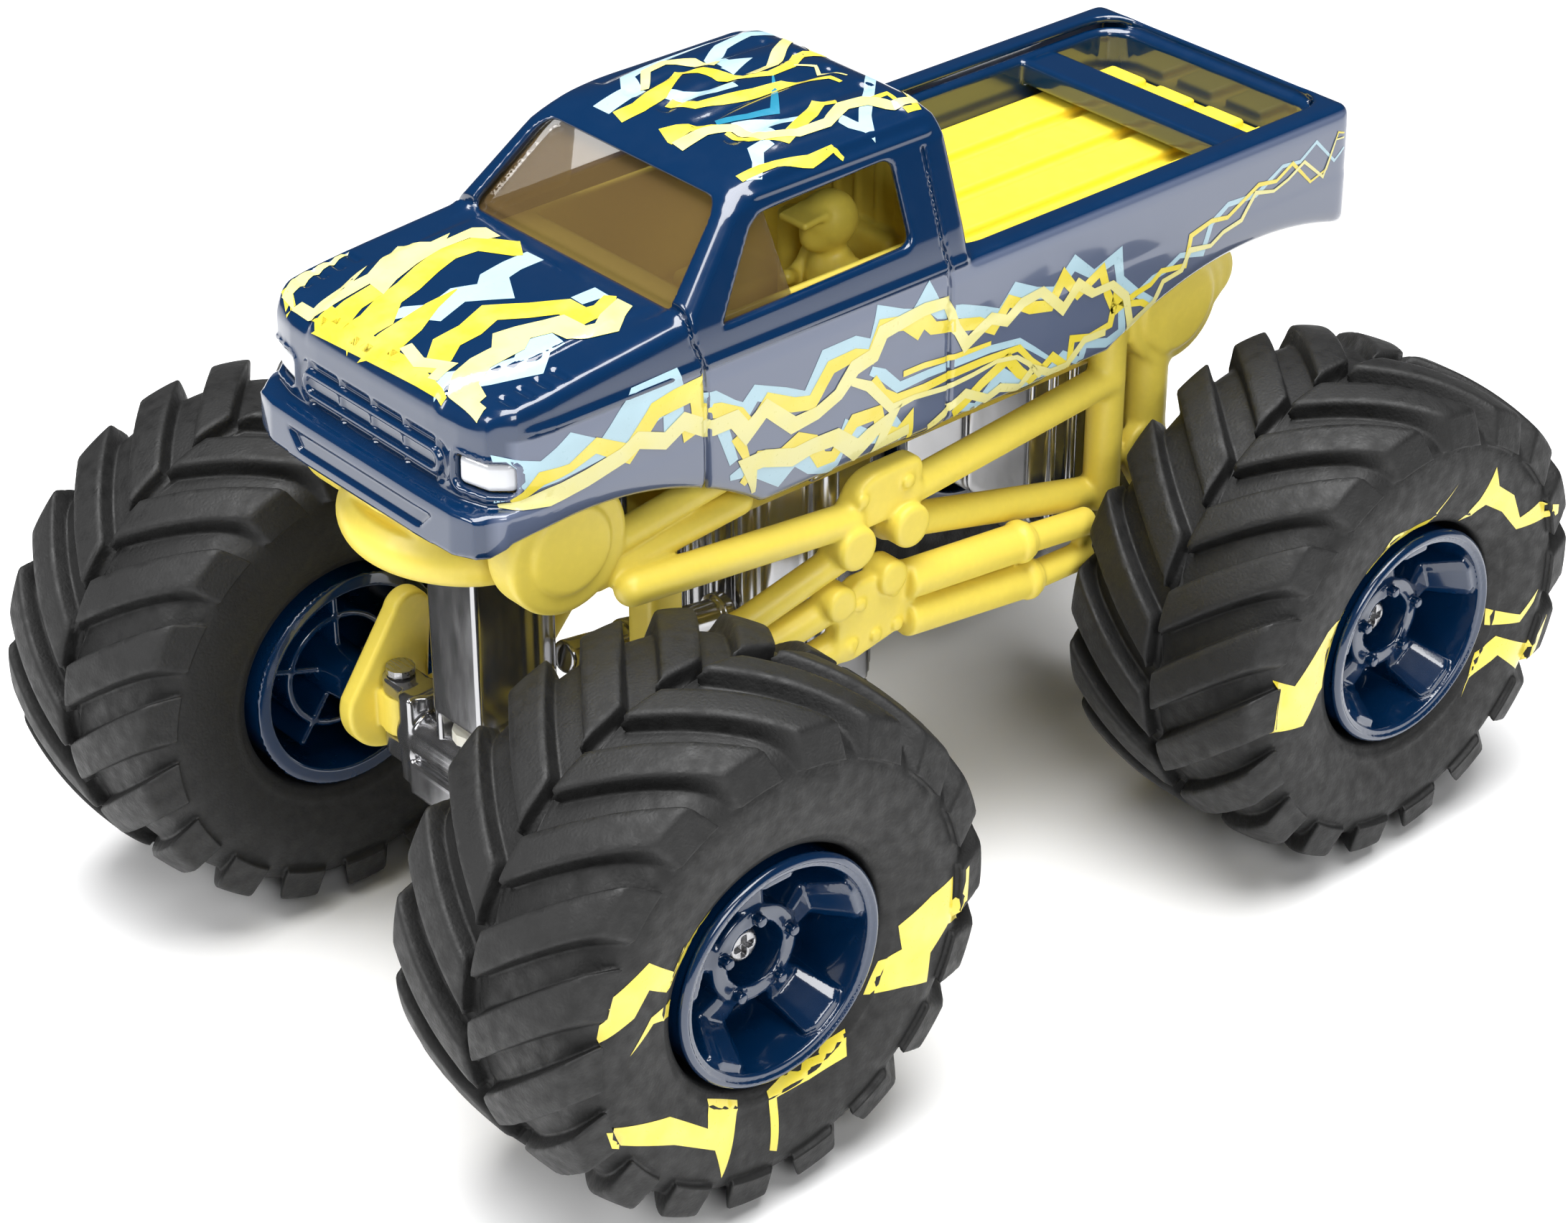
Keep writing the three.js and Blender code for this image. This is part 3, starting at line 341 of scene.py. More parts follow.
class Paint:
    """A Principled material with named textures added a line at a time."""

    def __init__(self, name, base, roughness, metallic=0.0, coat=0.0, coat_roughness=0.05, ior=1.5):
        self.material = bpy.data.materials.new(name)
        self.material.use_nodes = True
        self.nodes = self.material.node_tree.nodes
        self.links = self.material.node_tree.links
        self.shader = self.nodes["Principled BSDF"]
        self.shader.inputs["Base Color"].default_value = base
        self.shader.inputs["Roughness"].default_value = roughness
        self.shader.inputs["Metallic"].default_value = metallic
        self.shader.inputs["IOR"].default_value = ior
        self.shader.inputs["Coat Weight"].default_value = coat
        self.shader.inputs["Coat Roughness"].default_value = coat_roughness
        self.base = base
        self.where = self.nodes.new("ShaderNodeTexCoord").outputs["Object"]
        self.height = None

    def stretched(self, scale):
        mapping = self.nodes.new("ShaderNodeMapping")
        mapping.inputs["Scale"].default_value = scale
        self.links.new(self.where, mapping.inputs["Vector"])
        return mapping.outputs["Vector"]

    def noise(self, scale, detail=3.0, stretch=(1, 1, 1)):
        node = self.nodes.new("ShaderNodeTexNoise")
        node.inputs["Scale"].default_value = scale
        node.inputs["Detail"].default_value = detail
        self.links.new(self.stretched(stretch), node.inputs["Vector"])
        return node.outputs["Fac"]

    def cells(self, scale):
        node = self.nodes.new("ShaderNodeTexVoronoi")
        node.feature = "DISTANCE_TO_EDGE"
        node.inputs["Scale"].default_value = scale
        self.links.new(self.where, node.inputs["Vector"])
        return node.outputs["Distance"]

    def maths(self, operation, *values):
        node = self.nodes.new("ShaderNodeMath")
        node.operation = operation
        for value, socket in zip(values, node.inputs):
            self.links.new(value, socket)
        return node.outputs[0]

    def painted_reflection_mask(self):
        """1 on the lower sides of the body, below the crease and outside the nose, and 0 elsewhere. This is where a
        painted reflection of the floor is laid into the paint colour.
        """
        split = self.nodes.new("ShaderNodeSeparateXYZ")
        self.links.new(self.where, split.inputs[0])
        size = self.maths("ABSOLUTE", split.outputs["X"])
        edge = 0.3 * MM
        across = self.ramp(size, 28.6 * MM, 29.8 * MM, 0, 1)
        below = self.ramp(split.outputs["Z"], CREASE_Z * MM - edge, CREASE_Z * MM + edge, 1, 0)
        return self.maths("MULTIPLY", across, below)

    def ramp(self, value, low, high, a, b):
        node = self.nodes.new("ShaderNodeMapRange")
        node.inputs["From Min"].default_value = low
        node.inputs["From Max"].default_value = high
        node.inputs["To Min"].default_value = a
        node.inputs["To Max"].default_value = b
        self.links.new(value, node.inputs["Value"])
        return node.outputs["Result"]

    def blend_colour(self, value, other):
        """Mixes the base colour so far with another, by a 0 to 1 value."""
        node = self.nodes.new("ShaderNodeMix")
        node.data_type = "RGBA"
        source = self.shader.inputs["Base Color"]
        if source.links:
            self.links.new(source.links[0].from_socket, node.inputs[6])
        else:
            node.inputs[6].default_value = self.base
        node.inputs[7].default_value = other
        self.links.new(value, node.inputs["Factor"])
        self.links.new(node.outputs[2], source)

    def mottle(self, value, most, other):
        """Patches of another colour, at most this strong."""
        self.blend_colour(self.ramp(value, 0.35, 0.7, 0, most), other)

    def rough(self, value, low, high):
        self.links.new(self.ramp(value, 0.3, 0.7, low, high), self.shader.inputs["Roughness"])

    def bump(self, value, strength, depth_mm):
        node = self.nodes.new("ShaderNodeBump")
        node.inputs["Strength"].default_value = strength
        node.inputs["Distance"].default_value = depth_mm * MM
        self.links.new(value, node.inputs["Height"])
        if self.height is not None:
            self.links.new(self.height, node.inputs["Normal"])
        self.height = node.outputs["Normal"]
        self.links.new(self.height, self.shader.inputs["Normal"])


def shaded(base, factor):
    return tuple(c * factor for c in base[:3]) + (1,)


def gloss_plastic(name, base, roughness=0.22, side=None):
    paint = Paint(name, base, roughness, coat=1.0, coat_roughness=0.06, ior=1.35)
    paint.shader.inputs["Coat IOR"].default_value = 1.6
    paint.mottle(paint.noise(60), 0.35, shaded(base, 0.8))
    # The side colour is a painted reflection: a grey-blue tone laid on the lower side panels in place of the floor
    # reflected there.
    if side:
        paint.blend_colour(paint.painted_reflection_mask(), side)
    paint.rough(paint.noise(300), roughness - 0.03, roughness + 0.04)
    paint.bump(paint.noise(60, 1.0), 0.02, 0.02)
    return paint.material


def satin_plastic(name, base, roughness=0.42):
    paint = Paint(name, base, roughness)
    paint.shader.inputs["Subsurface Weight"].default_value = 0.08
    paint.shader.inputs["Subsurface Radius"].default_value = (0.002, 0.0015, 0.0006)
    paint.mottle(paint.noise(45), 0.5, shaded(base, 0.86))
    paint.blend_colour(paint.ramp(paint.noise(700, 2.0), 0.45, 0.75, 0, 0.3), shaded(base, 1.1))
    paint.rough(paint.noise(500), roughness - 0.06, roughness + 0.08)
    paint.bump(paint.noise(3200, 2.0), 0.35, 0.02)
    return paint.material


def rubber():
    paint = Paint("tyre_rubber", colour(13, 13, 13), 0.62)
    paint.blend_colour(paint.ramp(paint.noise(55, 4.0), 0.4, 0.75, 0, 0.5), colour(20, 20, 20))
    paint.blend_colour(paint.ramp(paint.noise(320, 5.0), 0.62, 0.8, 0, 0.25), colour(44, 43, 42))
    paint.rough(paint.noise(400), 0.52, 0.74)
    paint.bump(paint.cells(1100), 0.45, 0.12)
    paint.bump(paint.noise(1900, 3.0), 0.5, 0.1)
    return paint.material


def plated():
    streak = (1, 1, 0.3)
    paint = Paint("plated_trim", colour(176, 176, 178), 0.2, metallic=0.95)
    paint.mottle(paint.noise(40), 0.4, colour(160, 160, 162))
    paint.rough(paint.noise(400, 2.0, streak), 0.15, 0.24)
    paint.bump(paint.noise(900, 1.0, streak), 0.04, 0.01)
    return paint.material


def metal(name, base, roughness=0.3):
    streak = (0.05, 1, 1)
    paint = Paint(name, base, roughness, metallic=1.0)
    paint.rough(paint.noise(2500, 2.0, streak), roughness - 0.1, roughness + 0.12)
    paint.bump(paint.noise(2500, 2.0, streak), 0.15, 0.01)
    return paint.material


def smoked():
    paint = Paint("smoked_glazing", colour(104, 84, 52), 0.06, coat=1.0, coat_roughness=0.02)
    paint.shader.inputs["Alpha"].default_value = 0.5
    paint.rough(paint.noise(300), 0.03, 0.1)
    paint.bump(paint.noise(120, 1.0), 0.05, 0.05)
    return paint.material


def ink(name, base, glow=None):
    """Printed ink: a thin satin film with a slightly uneven tone."""
    paint = Paint(name, base, 0.32, coat=0.6, coat_roughness=0.08)
    paint.blend_colour(paint.ramp(paint.noise(150, 2.0), 0.4, 0.7, 0, 0.6), glow or shaded(base, 0.9))
    paint.rough(paint.noise(1200), 0.26, 0.42)
    paint.bump(paint.noise(2200, 2.0), 0.1, 0.01)
    return paint.material


# The side colour of the navy body is a painted reflection of the bright floor on its lower side panels, not a second
# paint.
NAVY = gloss_plastic("navy_body", colour(2, 38, 74), side=colour(88, 98, 122))
NAVY_RIM = gloss_plastic("navy_rim", colour(2, 36, 70), 0.24)
YELLOW = satin_plastic("yellow_plastic", colour(236, 214, 88))
BRIGHT = satin_plastic("bright_yellow_plastic", colour(252, 224, 66), 0.38)
RUBBER = rubber()
PLATED = plated()
STEEL = metal("steel", colour(170, 170, 172))
BRASS = metal("brass", colour(190, 150, 80), 0.25)
BLACK = satin_plastic("black_plastic", colour(30, 30, 32), 0.5)
WHITE = satin_plastic("white_plastic", colour(228, 226, 214), 0.45)
BOARD = satin_plastic("board", colour(22, 92, 52), 0.4)
WRAP = gloss_plastic("cell_wrap", colour(40, 76, 62), 0.3)
LAMP = gloss_plastic("lamp_white", colour(214, 216, 220), 0.16)
SMOKED = smoked()
INKS = {
    "pale": ink("ink_pale", colour(172, 204, 216)),
    "yellow": ink("ink_yellow", colour(230, 210, 60), colour(236, 222, 110)),
    "cream": ink("ink_cream", colour(226, 220, 150), colour(228, 218, 118)),
    "teal": ink("ink_teal", colour(40, 130, 160)),
}


# ---------------------------------------------------------------- body shell


def rounded(corners, steps_each=5):
    """An outline whose corners, given as u, v and reach, are eased with short curves."""
    points = []
    count = len(corners)
    for i, (u, v, reach) in enumerate(corners):
        at = np.array([u, v])
        sides = []
        for other in (corners[i - 1], corners[(i + 1) % count]):
            way = np.array(other[:2]) - at
            length = math.hypot(*way)
            sides.append(at + way / length * min(reach, length * 0.45))
        for t in np.linspace(0, 1, steps_each + 1):
            p = sides[0] * (1 - t) ** 2 + at * 2 * t * (1 - t) + sides[1] * t ** 2
            points.append((float(p[0]), float(p[1])))
    return points


TOP_LINE = [
    (NOSE_Y, LEDGE_Z + 0.2, 1.2), (-89.2, LEDGE_Z + 0.4, 0.5), (-88.5, 121.6, 0.8), (-85.6, 124.9, 3),
    (-73, 126.7, 8), (-50.8, 128.8, 1.2), (-36, 143.6, 5), (-22, 147.3, 10), (-6, ROOF_Z, 10),
    (5, 147.2, 4), (7.7, 143.2, 2.5), (CAB_BACK_Y, RAIL_Z, 1.5), (98.6, RAIL_Z, 1.2), (TAIL_Y, 119.4, 1.2),
]
FRONT_ARCH = arc((FRONT_Y, AXLE_Z), 60.3, 102, 54, 24)
REAR_ARCH = arc((76, 30), 72.3, 119.4, 69.8, 30)
TOP = rounded(TOP_LINE[::-1])
CHIN = rounded([(NOSE_Y, 101.2, 0.4), (-87, 101.5, 2)], 3)[3:6]
CLOSED_SIDE = polygon(CHIN + FRONT_ARCH + [(-36, SILL_Z), (39, SILL_Z)] + REAR_ARCH + TOP)
OPEN_SIDE = polygon([(NOSE_Y, 70), (TAIL_Y, 70)] + TOP)
TAIL_CORNER = arc((27, 96.2), 5, 0, 90, 8)
TAIL = TAIL_CORNER + [(-20, TAIL_Y)]
UPPER_PLAN = polygon([(-20, -89.9), (0, -89.9), (14, -89.6), (21.6, -88.7), (26.8, -87), (30, -83.4), (31.8, -77),
                      (32, -70)] + TAIL)
LOWER_PLAN = polygon([(-20, NOSE_Y), (0, NOSE_Y), (14, -92.9), (23.4, -92.4), (27.6, -90.6), (30.6, -86.4),
                      (32, -79), (32, -70)] + TAIL)
FRONT_LINE = polygon([(-20, 60), (31.4, 60), (31.6, 90), (BODY_HALF, 100), (BODY_HALF, 113), (31.8, 118), (31, RAIL_Z),
                      (29.6, 127), (24.8, 141), (22.6, 144.6), (17, 147.2), (8, 148.2), (0, ROOF_Z), (-20, ROOF_Z)])
WINDOW = polygon(rounded([(-43.6, 126, 1.2), (-33.4, 139.6, 3), (-4.4, 140.4, 2.6), (-4, 126.8, 2)]))
WINDSCREEN = polygon(rounded([(-24.9, 128.6, 2), (24.9, 128.6, 2), (21, 141.9, 3), (-21, 141.9, 3)]))
BED_PLAN = polygon(rounded([(-BED_HALF, BED_FRONT_Y, 4), (BED_HALF, BED_FRONT_Y, 4),
                            (BED_HALF, BED_END_Y, 6), (-BED_HALF, BED_END_Y, 6)]))
SEAM_FRONT, SEAM_REAR = -48.4, 2.9
ROOF_GROOVES = (4, 12, 20)
VENT_Y = (-82, -78.8, -75.6, -72.4)
GRILLE_Z = 113.8
GLASS_Y = -29


def hull(x, y, z, side):
    ax = np.abs(x)
    lower = smax(LOWER_PLAN(ax, y), z - LEDGE_Z, 1.2)
    plan = smin(UPPER_PLAN(ax, y), lower, 0.8)
    return smax(smax(side(y, z), FRONT_LINE(ax, z), 2.4), plan, 2.4)


def relief(x, y, z):
    """How far the outer face stands out: hood panel, louvres, roof grooves, drip rails and belt line."""
    ax = np.abs(x)
    hood = smooth((z - 119) / 3) * smooth((-50.4 - y) / 1.5) * smooth((y + 88.6) / 1.5)
    half = 21.2 - 4.6 * smooth((-72 - y) / 15)
    panel = 0.75 * smooth((half - ax) / 1.3 + 0.5) * hood
    vent = smooth(-slab(ax, 24, 28.2) / 0.5) * hood
    louvre = vent * sum(np.exp(-((y - at) / 0.55) ** 2) for at in VENT_Y) * 0.55
    roof = smooth((z - 144) / 2)
    long = smooth(-slab(y, -28, 2.4) / 1.4)
    grooves = sum(np.exp(-((ax - at) / 1.5) ** 2) for at in ROOF_GROOVES) * 0.8 * roof * long
    drip = 0.45 * np.exp(-((z - 142.4) / 0.55) ** 2) * smooth((ax - 19) / 2) * smooth(-slab(y, -34, 5.5) / 2)
    belt = 0.35 * np.exp(-((z - RAIL_Z) / 0.7) ** 2) * smooth(ax - 28) * smooth((8 - y) / 2) * smooth((y + 84) / 4)
    return panel - louvre - grooves + drip + belt


def seams(x, y, z, outer):
    """Door gaps, cut as shallow grooves that kick forward above the belt."""
    kick = 1.3 * smooth((z - 121) / 5)
    outside = np.maximum(slab(z, SILL_Z + 1, 140.5), 20 - np.abs(x))
    groove = smin(np.abs(y - SEAM_FRONT + kick) - 0.34, np.abs(y - SEAM_REAR + kick * 0.6) - 0.34, 0.1)
    return np.maximum(np.maximum(groove, -(outer + 0.75)), outside)


def grille_bars(x, y, z):
    """One long ring of bars round a flat centre, with thin upright ribs set behind it."""
    away = np.sqrt(np.maximum(np.abs(x) - 15.4, 0) ** 2 + (z - GRILLE_Z) ** 2)
    ring = smax(np.abs(away - 1.8) - 0.55, slab(y, -89.1, -87.3), 0.4)
    centre = np.maximum(away - 1.8, slab(y, -88.2, -87.2))
    ribs = np.maximum(np.maximum(np.abs((x + 4.1) % 8.2 - 4.1) - 0.42, np.abs(x) - 18), slab(y, -88.5, -87.2))
    return np.minimum(np.minimum(ring, centre), ribs)


def body(x, y, z):
    """The painted shell with its bed tub, windows, lamp pockets, grille, bumper panel, door gaps and posts."""
    outer = hull(x, y, z, CLOSED_SIDE) - relief(x, y, z)
    inner = hull(x, y, z, OPEN_SIDE) + SKIN
    skin = smax(outer, -inner, 0.4)
    flare = 1.6 * smooth((z - 118.4) / 1.6)
    bed = smax(BED_PLAN(x, y) - flare, 109.9 - z, 0.6)
    tub = smax(smax(BED_PLAN(x, y) - SKIN, 110.2 - z, 0.6), outer + 0.2, 0.6)
    shell = smax(smin(skin, tub, 0.6), -bed, 1.0)
    ax = np.abs(x)
    shell = smin(shell, box(x, y, z, (-25.2, 73.6, 114.4), (25.2, 81.6, 119), 1.0), 0.8)
    windows = smax(WINDOW(y, z), 20 - ax, 0.3)
    screen = smax(WINDSCREEN(x, z), y - GLASS_Y, 0.3)
    shell = smax(shell, -np.minimum(windows, screen), 0.7)
    lamp = box(ax, y, z, (20.5, -96, 111.5), (29.6, -78, 116.8), 1.3)
    shell = smax(shell, -lamp, 0.5)
    rim_line = np.abs(lamp - 0.6) - 0.35
    shell = smin(shell, np.maximum(rim_line, np.abs(outer + 0.1) - 0.45), 0.4)
    mouth = np.sqrt(np.maximum(ax - 15.8, 0) ** 2 + (z - GRILLE_Z) ** 2) - 3.7
    shell = smax(shell, -smax(mouth, y + 88.05, 0.3), 0.5)
    shell = smin(shell, np.maximum(grille_bars(x, y, z), mouth), 0.3)
    panel = smax(slab(z, 103.4, 106.3), ax - 15.8 - (z - 103.6) * 0.96, 0.4)
    shell = smax(shell, -np.maximum(np.maximum(panel, -(outer + 0.7)), y + 80), 0.4)
    shell = np.maximum(shell, -seams(x, y, z, outer))
    return smin(shell, rod(ax, y, z, (12, -53, BODY_LOW[2]), (12, -53, 128), 3.2), 0.8)


def glazing(x, y, z):
    """The windscreen with its raised frame and the two quarter panes, one clear moulding."""
    outer = hull(x, y, z, OPEN_SIDE)
    screen = smax(WINDSCREEN(x, z) - 1.4, y + 33, 0.3)
    rear_edge = (y + 29.2) * 0.99 + (z - 134) * 0.14
    pane = smax(smax(WINDOW(y, z) - 1.2, rear_edge, 0.3), 20 - np.abs(x), 0.3)
    frame_line = np.exp(-((WINDSCREEN(x, z) + 0.6) / 0.5) ** 2) * 0.4
    sheet = smax(outer + 1.95 - frame_line, -(outer + 3.0), 0.2)
    return smax(sheet, smin(screen, pane, 0.5), 0.3)


def headlamp(x, y, z):
    lens = box(x, y, z, (20.8, -96, 111.8), (29.3, -80, 116.5), 1.1)
    outer = hull(x, y, z, CLOSED_SIDE)
    bevel = 0.35 * smooth(-lens / 0.9)
    return smax(smax(lens, outer + 0.75 - bevel, 0.4), -(outer + 1.9), 0.3)


# ---------------------------------------------------------------- inside the cab, and the bed floor


def tray(x, y, z):
    """The yellow tub with its ledge, two seats and a ribbed wall behind them."""
    ax = np.abs(x)
    tub = box(x, y, z, (-25.5, -46.4, 102.2), (25.5, 5.8, 124.6), 1.0)
    foot = box(x, y, z, (-21.4, -46.4, 95.2), (21.4, 5.8, 104), 1.0)
    room = box(x, y, z, (-24, -38, 103.8), (24, 4.1, 140), 1.5)
    well = box(x, y, z, (-20, -38, 97), (20, 4.1, 120), 1.0)
    shape = smax(smin(tub, foot, 0.5), -smin(room, well, 0.5), 0.5)
    ribbed = 4.2 - 0.7 * np.exp(-((x % 5 - 2.5) / 0.6) ** 2)
    wall = np.maximum(slab(y, ribbed, 5.8), slab(z, 118, 139.6))
    shape = smin(shape, np.maximum(wall, ax - 25.4 + (z - 121) * 0.22), 0.4)
    for side in (-12, 12):
        seat = box(x, y, z, (side - 7, -14, 96), (side + 7, 4.6, 108), 1.6)
        back = box(x, y, z, (side - 6.5, 0.8, 96), (side + 6.5, 4.6, 122), 1.5)
        shape = smin(shape, smin(seat, back, 1.5), 0.5)
    return smin(shape, rod(x, y, z, (0, -3, 96), (0, -3, 122.3), 2.7), 0.8)


def driver(x, y, z):
    """A plain helmeted figure: visor, shoulders and arms held forward to a small wheel."""
    x = x - 12
    head = np.sqrt((x / 0.93) ** 2 + ((y + 6.2) / 1.04) ** 2 + (z - 126) ** 2) - 4.9
    chin = np.sqrt((x / 0.8) ** 2 + (y + 8.4) ** 2 + ((z - 123.6) / 0.8) ** 2) - 3.2
    peak = box(x, y, z - 0.12 * (y + 10), (-3.3, -14.2, 127.7), (3.3, -9, 128.9), 0.5)
    neck = tube(x, y, z, (0, -5.6, 119), (0, -6, 124), 2.6)
    chest = tube(x, y, z, (0, -5.8, 112.6), (0, -5.4, 117), 4.6, 4.2)
    collar = tube(x, y, z, (-4.3, -5.2, 118), (4.3, -5.2, 118), 2.3)
    base = box(x, y, z, (-4.4, -10, 108.8), (4.4, -2, 112), 1.0)
    arms = join([tube(x, y, z, (s * 4.6, -5.4, 117.8), (s * 5, -9.4, 114.6), 1.7, 1.5) for s in (-1, 1)]
                + [tube(x, y, z, (s * 5, -9.4, 114.6), (s * 2.8, -12.6, 116.6), 1.5, 1.3) for s in (-1, 1)], 0.8)
    return join([head, chin, peak, neck, chest, collar, base, arms], 1.1)


RIB_X = (-18, -6, 6, 18)
RIB_HALF = 4.3


def bed_floor(x, y, z):
    plate = smax(BED_PLAN(x, y) + 0.35, slab(z, BED_FLOOR_Z - 1.6, BED_FLOOR_Z - 0.9), 0.3)
    ribs = [box(x, y, z, (at - RIB_HALF, 13.6, BED_FLOOR_Z - 1.3), (at + RIB_HALF, 95, FLOOR_HIGH[2]), 0.5)
            for at in RIB_X]
    ribs = smax(np.minimum.reduce(ribs), BED_PLAN(x, y) + 0.8, 0.3)
    posts = rod(np.abs(x), y, z, (13, 64.5, FLOOR_LOW[2]), (13, 64.5, BED_FLOOR_Z - 1), 2.8)
    return smin(smin(plate, ribs, 0.35), posts, 0.8)


# ---------------------------------------------------------------- moulded chassis


def rivets(x, y, z, spots, x0, r, height):
    return join([disc(x, y, z, spot, r, x0 - 1, x0 + height, 0.5) for spot in spots], 0.2)


UPPER_PLATE = polygon(rounded([(-20.4, 79, 2.6), (-2, 79, 2.6), (-1, 88.8, 3), (-14.6, 88.8, 4)]))
LOWER_PLATE = polygon(rounded([(-20, 65.4, 2), (-16, 69.8, 2), (-4.6, 69.2, 2), (-2.6, 66, 2), (-3.2, 60.4, 2),
                               (-6, 57, 2), (-17.6, 54.8, 2), (-20.6, 57, 2)]))


def drum(x, y, z, at, r, ring):
    face = disc(x, y, z, at, r, 21.2, 28.2, 1.6)
    cap = disc(x, y, z, at, ring, 24, 29.0, 0.9)
    return smin(face, cap, 0.5)


def side_frame(x, y, z):
    front = join([
        drum(x, y, z, (FRONT_Y - 0.4, 97.4), 11.3, 7.6),
        tube(x, y, z, (29, -62, 86.6), (29, -17, 81.6), 2.9),
        tube(x, y, z, (25, -66, 93), (25, -37, 97.2), 2.5),
        tube(x, y, z, (25, -66, 88.6), (25, -37, 91.1), 2.5),
        tube(x, y, z, (29, -17.4, 75.6), (23.2, -36, 65.8), 2.6),
        tube(x, y, z, (23.2, -36, 65.8), (20.6, -49, 59), 2.6),
        box(x, y, z, (16.3, -53.2, 43.6), (23.1, -46.5, 83.9), 1.2),
        tube(x, y, z, (20, -59, 89), (20, -50, 81), 2.8),
    ], 1.0)
    plate = smax(UPPER_PLATE(y, z), slab(x, 26.2, 30.6), 1.2)
    bosses = join([disc(x, y, z, at, 3.9, 26, 32.8, 1.1) for at in ((-17.4, 77.6), (-5.5, 77.4))], 0.3)
    plate = join([plate, bosses, rivets(x, y, z, ((-15.3, 85.2), (-5.2, 85.2)), 30.6, 1.3, 0.8)], 0.5)
    arm = smax(tube(0, y, z, (0, REAR_Y, AXLE_Z), (0, 55, 68), 8.2, 5), slab(x, 24.5, 27.9), 0.9)
    back = join([
        tube(x, y, z, (28, -4, 81.6), (25.6, 46, 84), 2.9),
        tube(x, y, z, (26, -5.5, 75.4), (23.7, 46, 60.9), 2.9),
        rod(x, y, z, (25, 46.8, 58.8), (25, 46.8, 95), 3.3, 1.0),
        rod(x, y, z, (25, 57, 64), (25, 57, 95), 3.7, 1.0),
        drum(x, y, z, (60.2, 94.6), 10.9, 8.6),
        disc(x, y, z, (69.4, 97.4), 5.2, 21.2, 28.2, 1.2),
        arm,
    ], 1.0)
    whole = smin(smin(front, plate, 0.8), back, 0.8)
    return smax(whole, -rod(x, y, z, (20, REAR_Y, AXLE_Z), (35, REAR_Y, AXLE_Z), 2.7), 0.3)


def link_set(x, y, z):
    plate = smax(LOWER_PLATE(y, z), slab(x, 27, 30.6), 1.0)
    spots = ((-15.4, 65.6), (-8, 65.6), (-17.2, 58.6), (-12, 58.4), (-7.2, 58.6))
    plate = smin(plate, rivets(x, y, z, spots, 30.6, 1.2, 0.7), 0.4)
    bosses = join([disc(x, y, z, at, 3.1, 26.4, 31.8, 0.9) for at in ((-20, 67.6), (-8.6, 68.3))], 0.3)
    parts = []
    for a, b, c in (((-5, 65.6), (24, 62.6), (39, 60.4)), ((-5, 58.4), (26, 54.6), (39, 53.8))):
        parts.append(rod(x, y, z, (29.6, *a), (30, *b), 3.4, 1.2))
        parts.append(rod(x, y, z, (30, *b), (29.6, *c), 2.5, 0.8))
        collar_y = b[0] - 3
        parts.append(rod(x, y, z, (29.9, collar_y, b[1] + 0.35), (30, collar_y + 1.6, b[1] + 0.2), 3.75, 0.6))
    for top, end in ((67.4, 53.6), (58.8, 46)):
        mid = (top + end) / 2 + 0.6
        parts.append(rod(x, y, z, (29, -17, top), (24.6, -31, mid), 2.85, 1.0))
        parts.append(rod(x, y, z, (24.6, -31, mid), (20.8, -42.6, end), 2.25, 0.8))
    parts.append(box(x, y, z, (28, 36.4, 52), (30.4, 40, 62), 0.7))
    parts.append(box(x, y, z, (18.2, -45.3, 44), (23, -42, 56), 0.8))
    return smin(smin(plate, bosses, 0.5), join(parts, 0.8), 0.8)


BUMPER_ROUTE = [(16.5, -69), (16.4, -78.4), (12.2, -83.8), (6, -87.2), (0, -88.2)]
BUMPER_Z = 92.3
BUMPER_R = 3.85


def eased(points, rounds=3):
    """Corner cutting: the same route with its bends rounded."""
    for _ in range(rounds):
        fresh = [points[0]]
        for a, b in zip(points, points[1:]):
            fresh.append(tuple(np.array(a) * 0.75 + np.array(b) * 0.25))
            fresh.append(tuple(np.array(a) * 0.25 + np.array(b) * 0.75))
        points = fresh + [points[-1]]
    return points


BUMPER_LINE = eased([*BUMPER_ROUTE, (-6, -87.2)], 2)


def bumper(x, y, z):
    """A round tube bent round the front, with a slotted band above it."""
    ax = np.abs(x)
    away = None
    for a, b in zip(BUMPER_LINE, BUMPER_LINE[1:]):
        ex, ey = b[0] - a[0], b[1] - a[1]
        t = np.clip(((ax - a[0]) * ex + (y - a[1]) * ey) / (ex * ex + ey * ey), 0, 1)
        d = (ax - a[0] - ex * t) ** 2 + (y - a[1] - ey * t) ** 2
        away = d if away is None else np.minimum(away, d)
    away = np.sqrt(away)
    ring = np.sqrt(away ** 2 + (z - BUMPER_Z) ** 2) - BUMPER_R
    band = smax(away - 1.5, slab(z, BUMPER_Z, 100.7), 0.8)
    slot = smax(np.sqrt(np.maximum(ax - 8, 0) ** 2 + (z - 97.4) ** 2) - 0.9, y + 87.6, 0.3)
    bracket = box(x, y, z, (-9, -86, 87.9), (9, -57.1, 91.4), 0.6)
    return smin(smax(smin(ring, band, 1.6), -slot, 0.6), bracket, 0.8)


def deck(x, y, z):
    low, high = node_box("chassis_deck")
    half = high[0] - 4 * smooth((-42 - y) / 3)
    plate = smax(np.maximum(np.abs(x) - half, slab(y, low[1], high[1])), slab(z, low[2], high[2] - 3), 0.6)
    lugs = box(np.abs(x), y, z, (18.4, -40, 87), (20.4, 50, 90.5), 0.5)
    return smin(plate, lugs, 0.8)


# ---------------------------------------------------------------- plated housings


def housing(x, y, z):
    """The narrow plated box over the front axle, with a round column up each rear corner and legs on the beam."""
    low, high = node_box("front_housing")
    ax = np.abs(x)
    block = box(x, y, z, (-6.5, low[1] + 0.1, 52.7), (6.5, -59.7, high[2]), 0.7)
    columns = rod(ax, y, z, (3.2, -63.8, 52.7), (3.2, -63.8, high[2]), 3.95, 0.4)
    room = box(x, y, z, (-5.4, -75, 45), (5.4, -60.8, 78), 0.4)
    legs = box(ax, y, z, (4.95, -75.5, low[2] + 0.05), (6.55, -68.1, 54), 0.4)
    return smin(smax(smin(block, columns, 0.5), -room, 0.3), legs, 0.4)


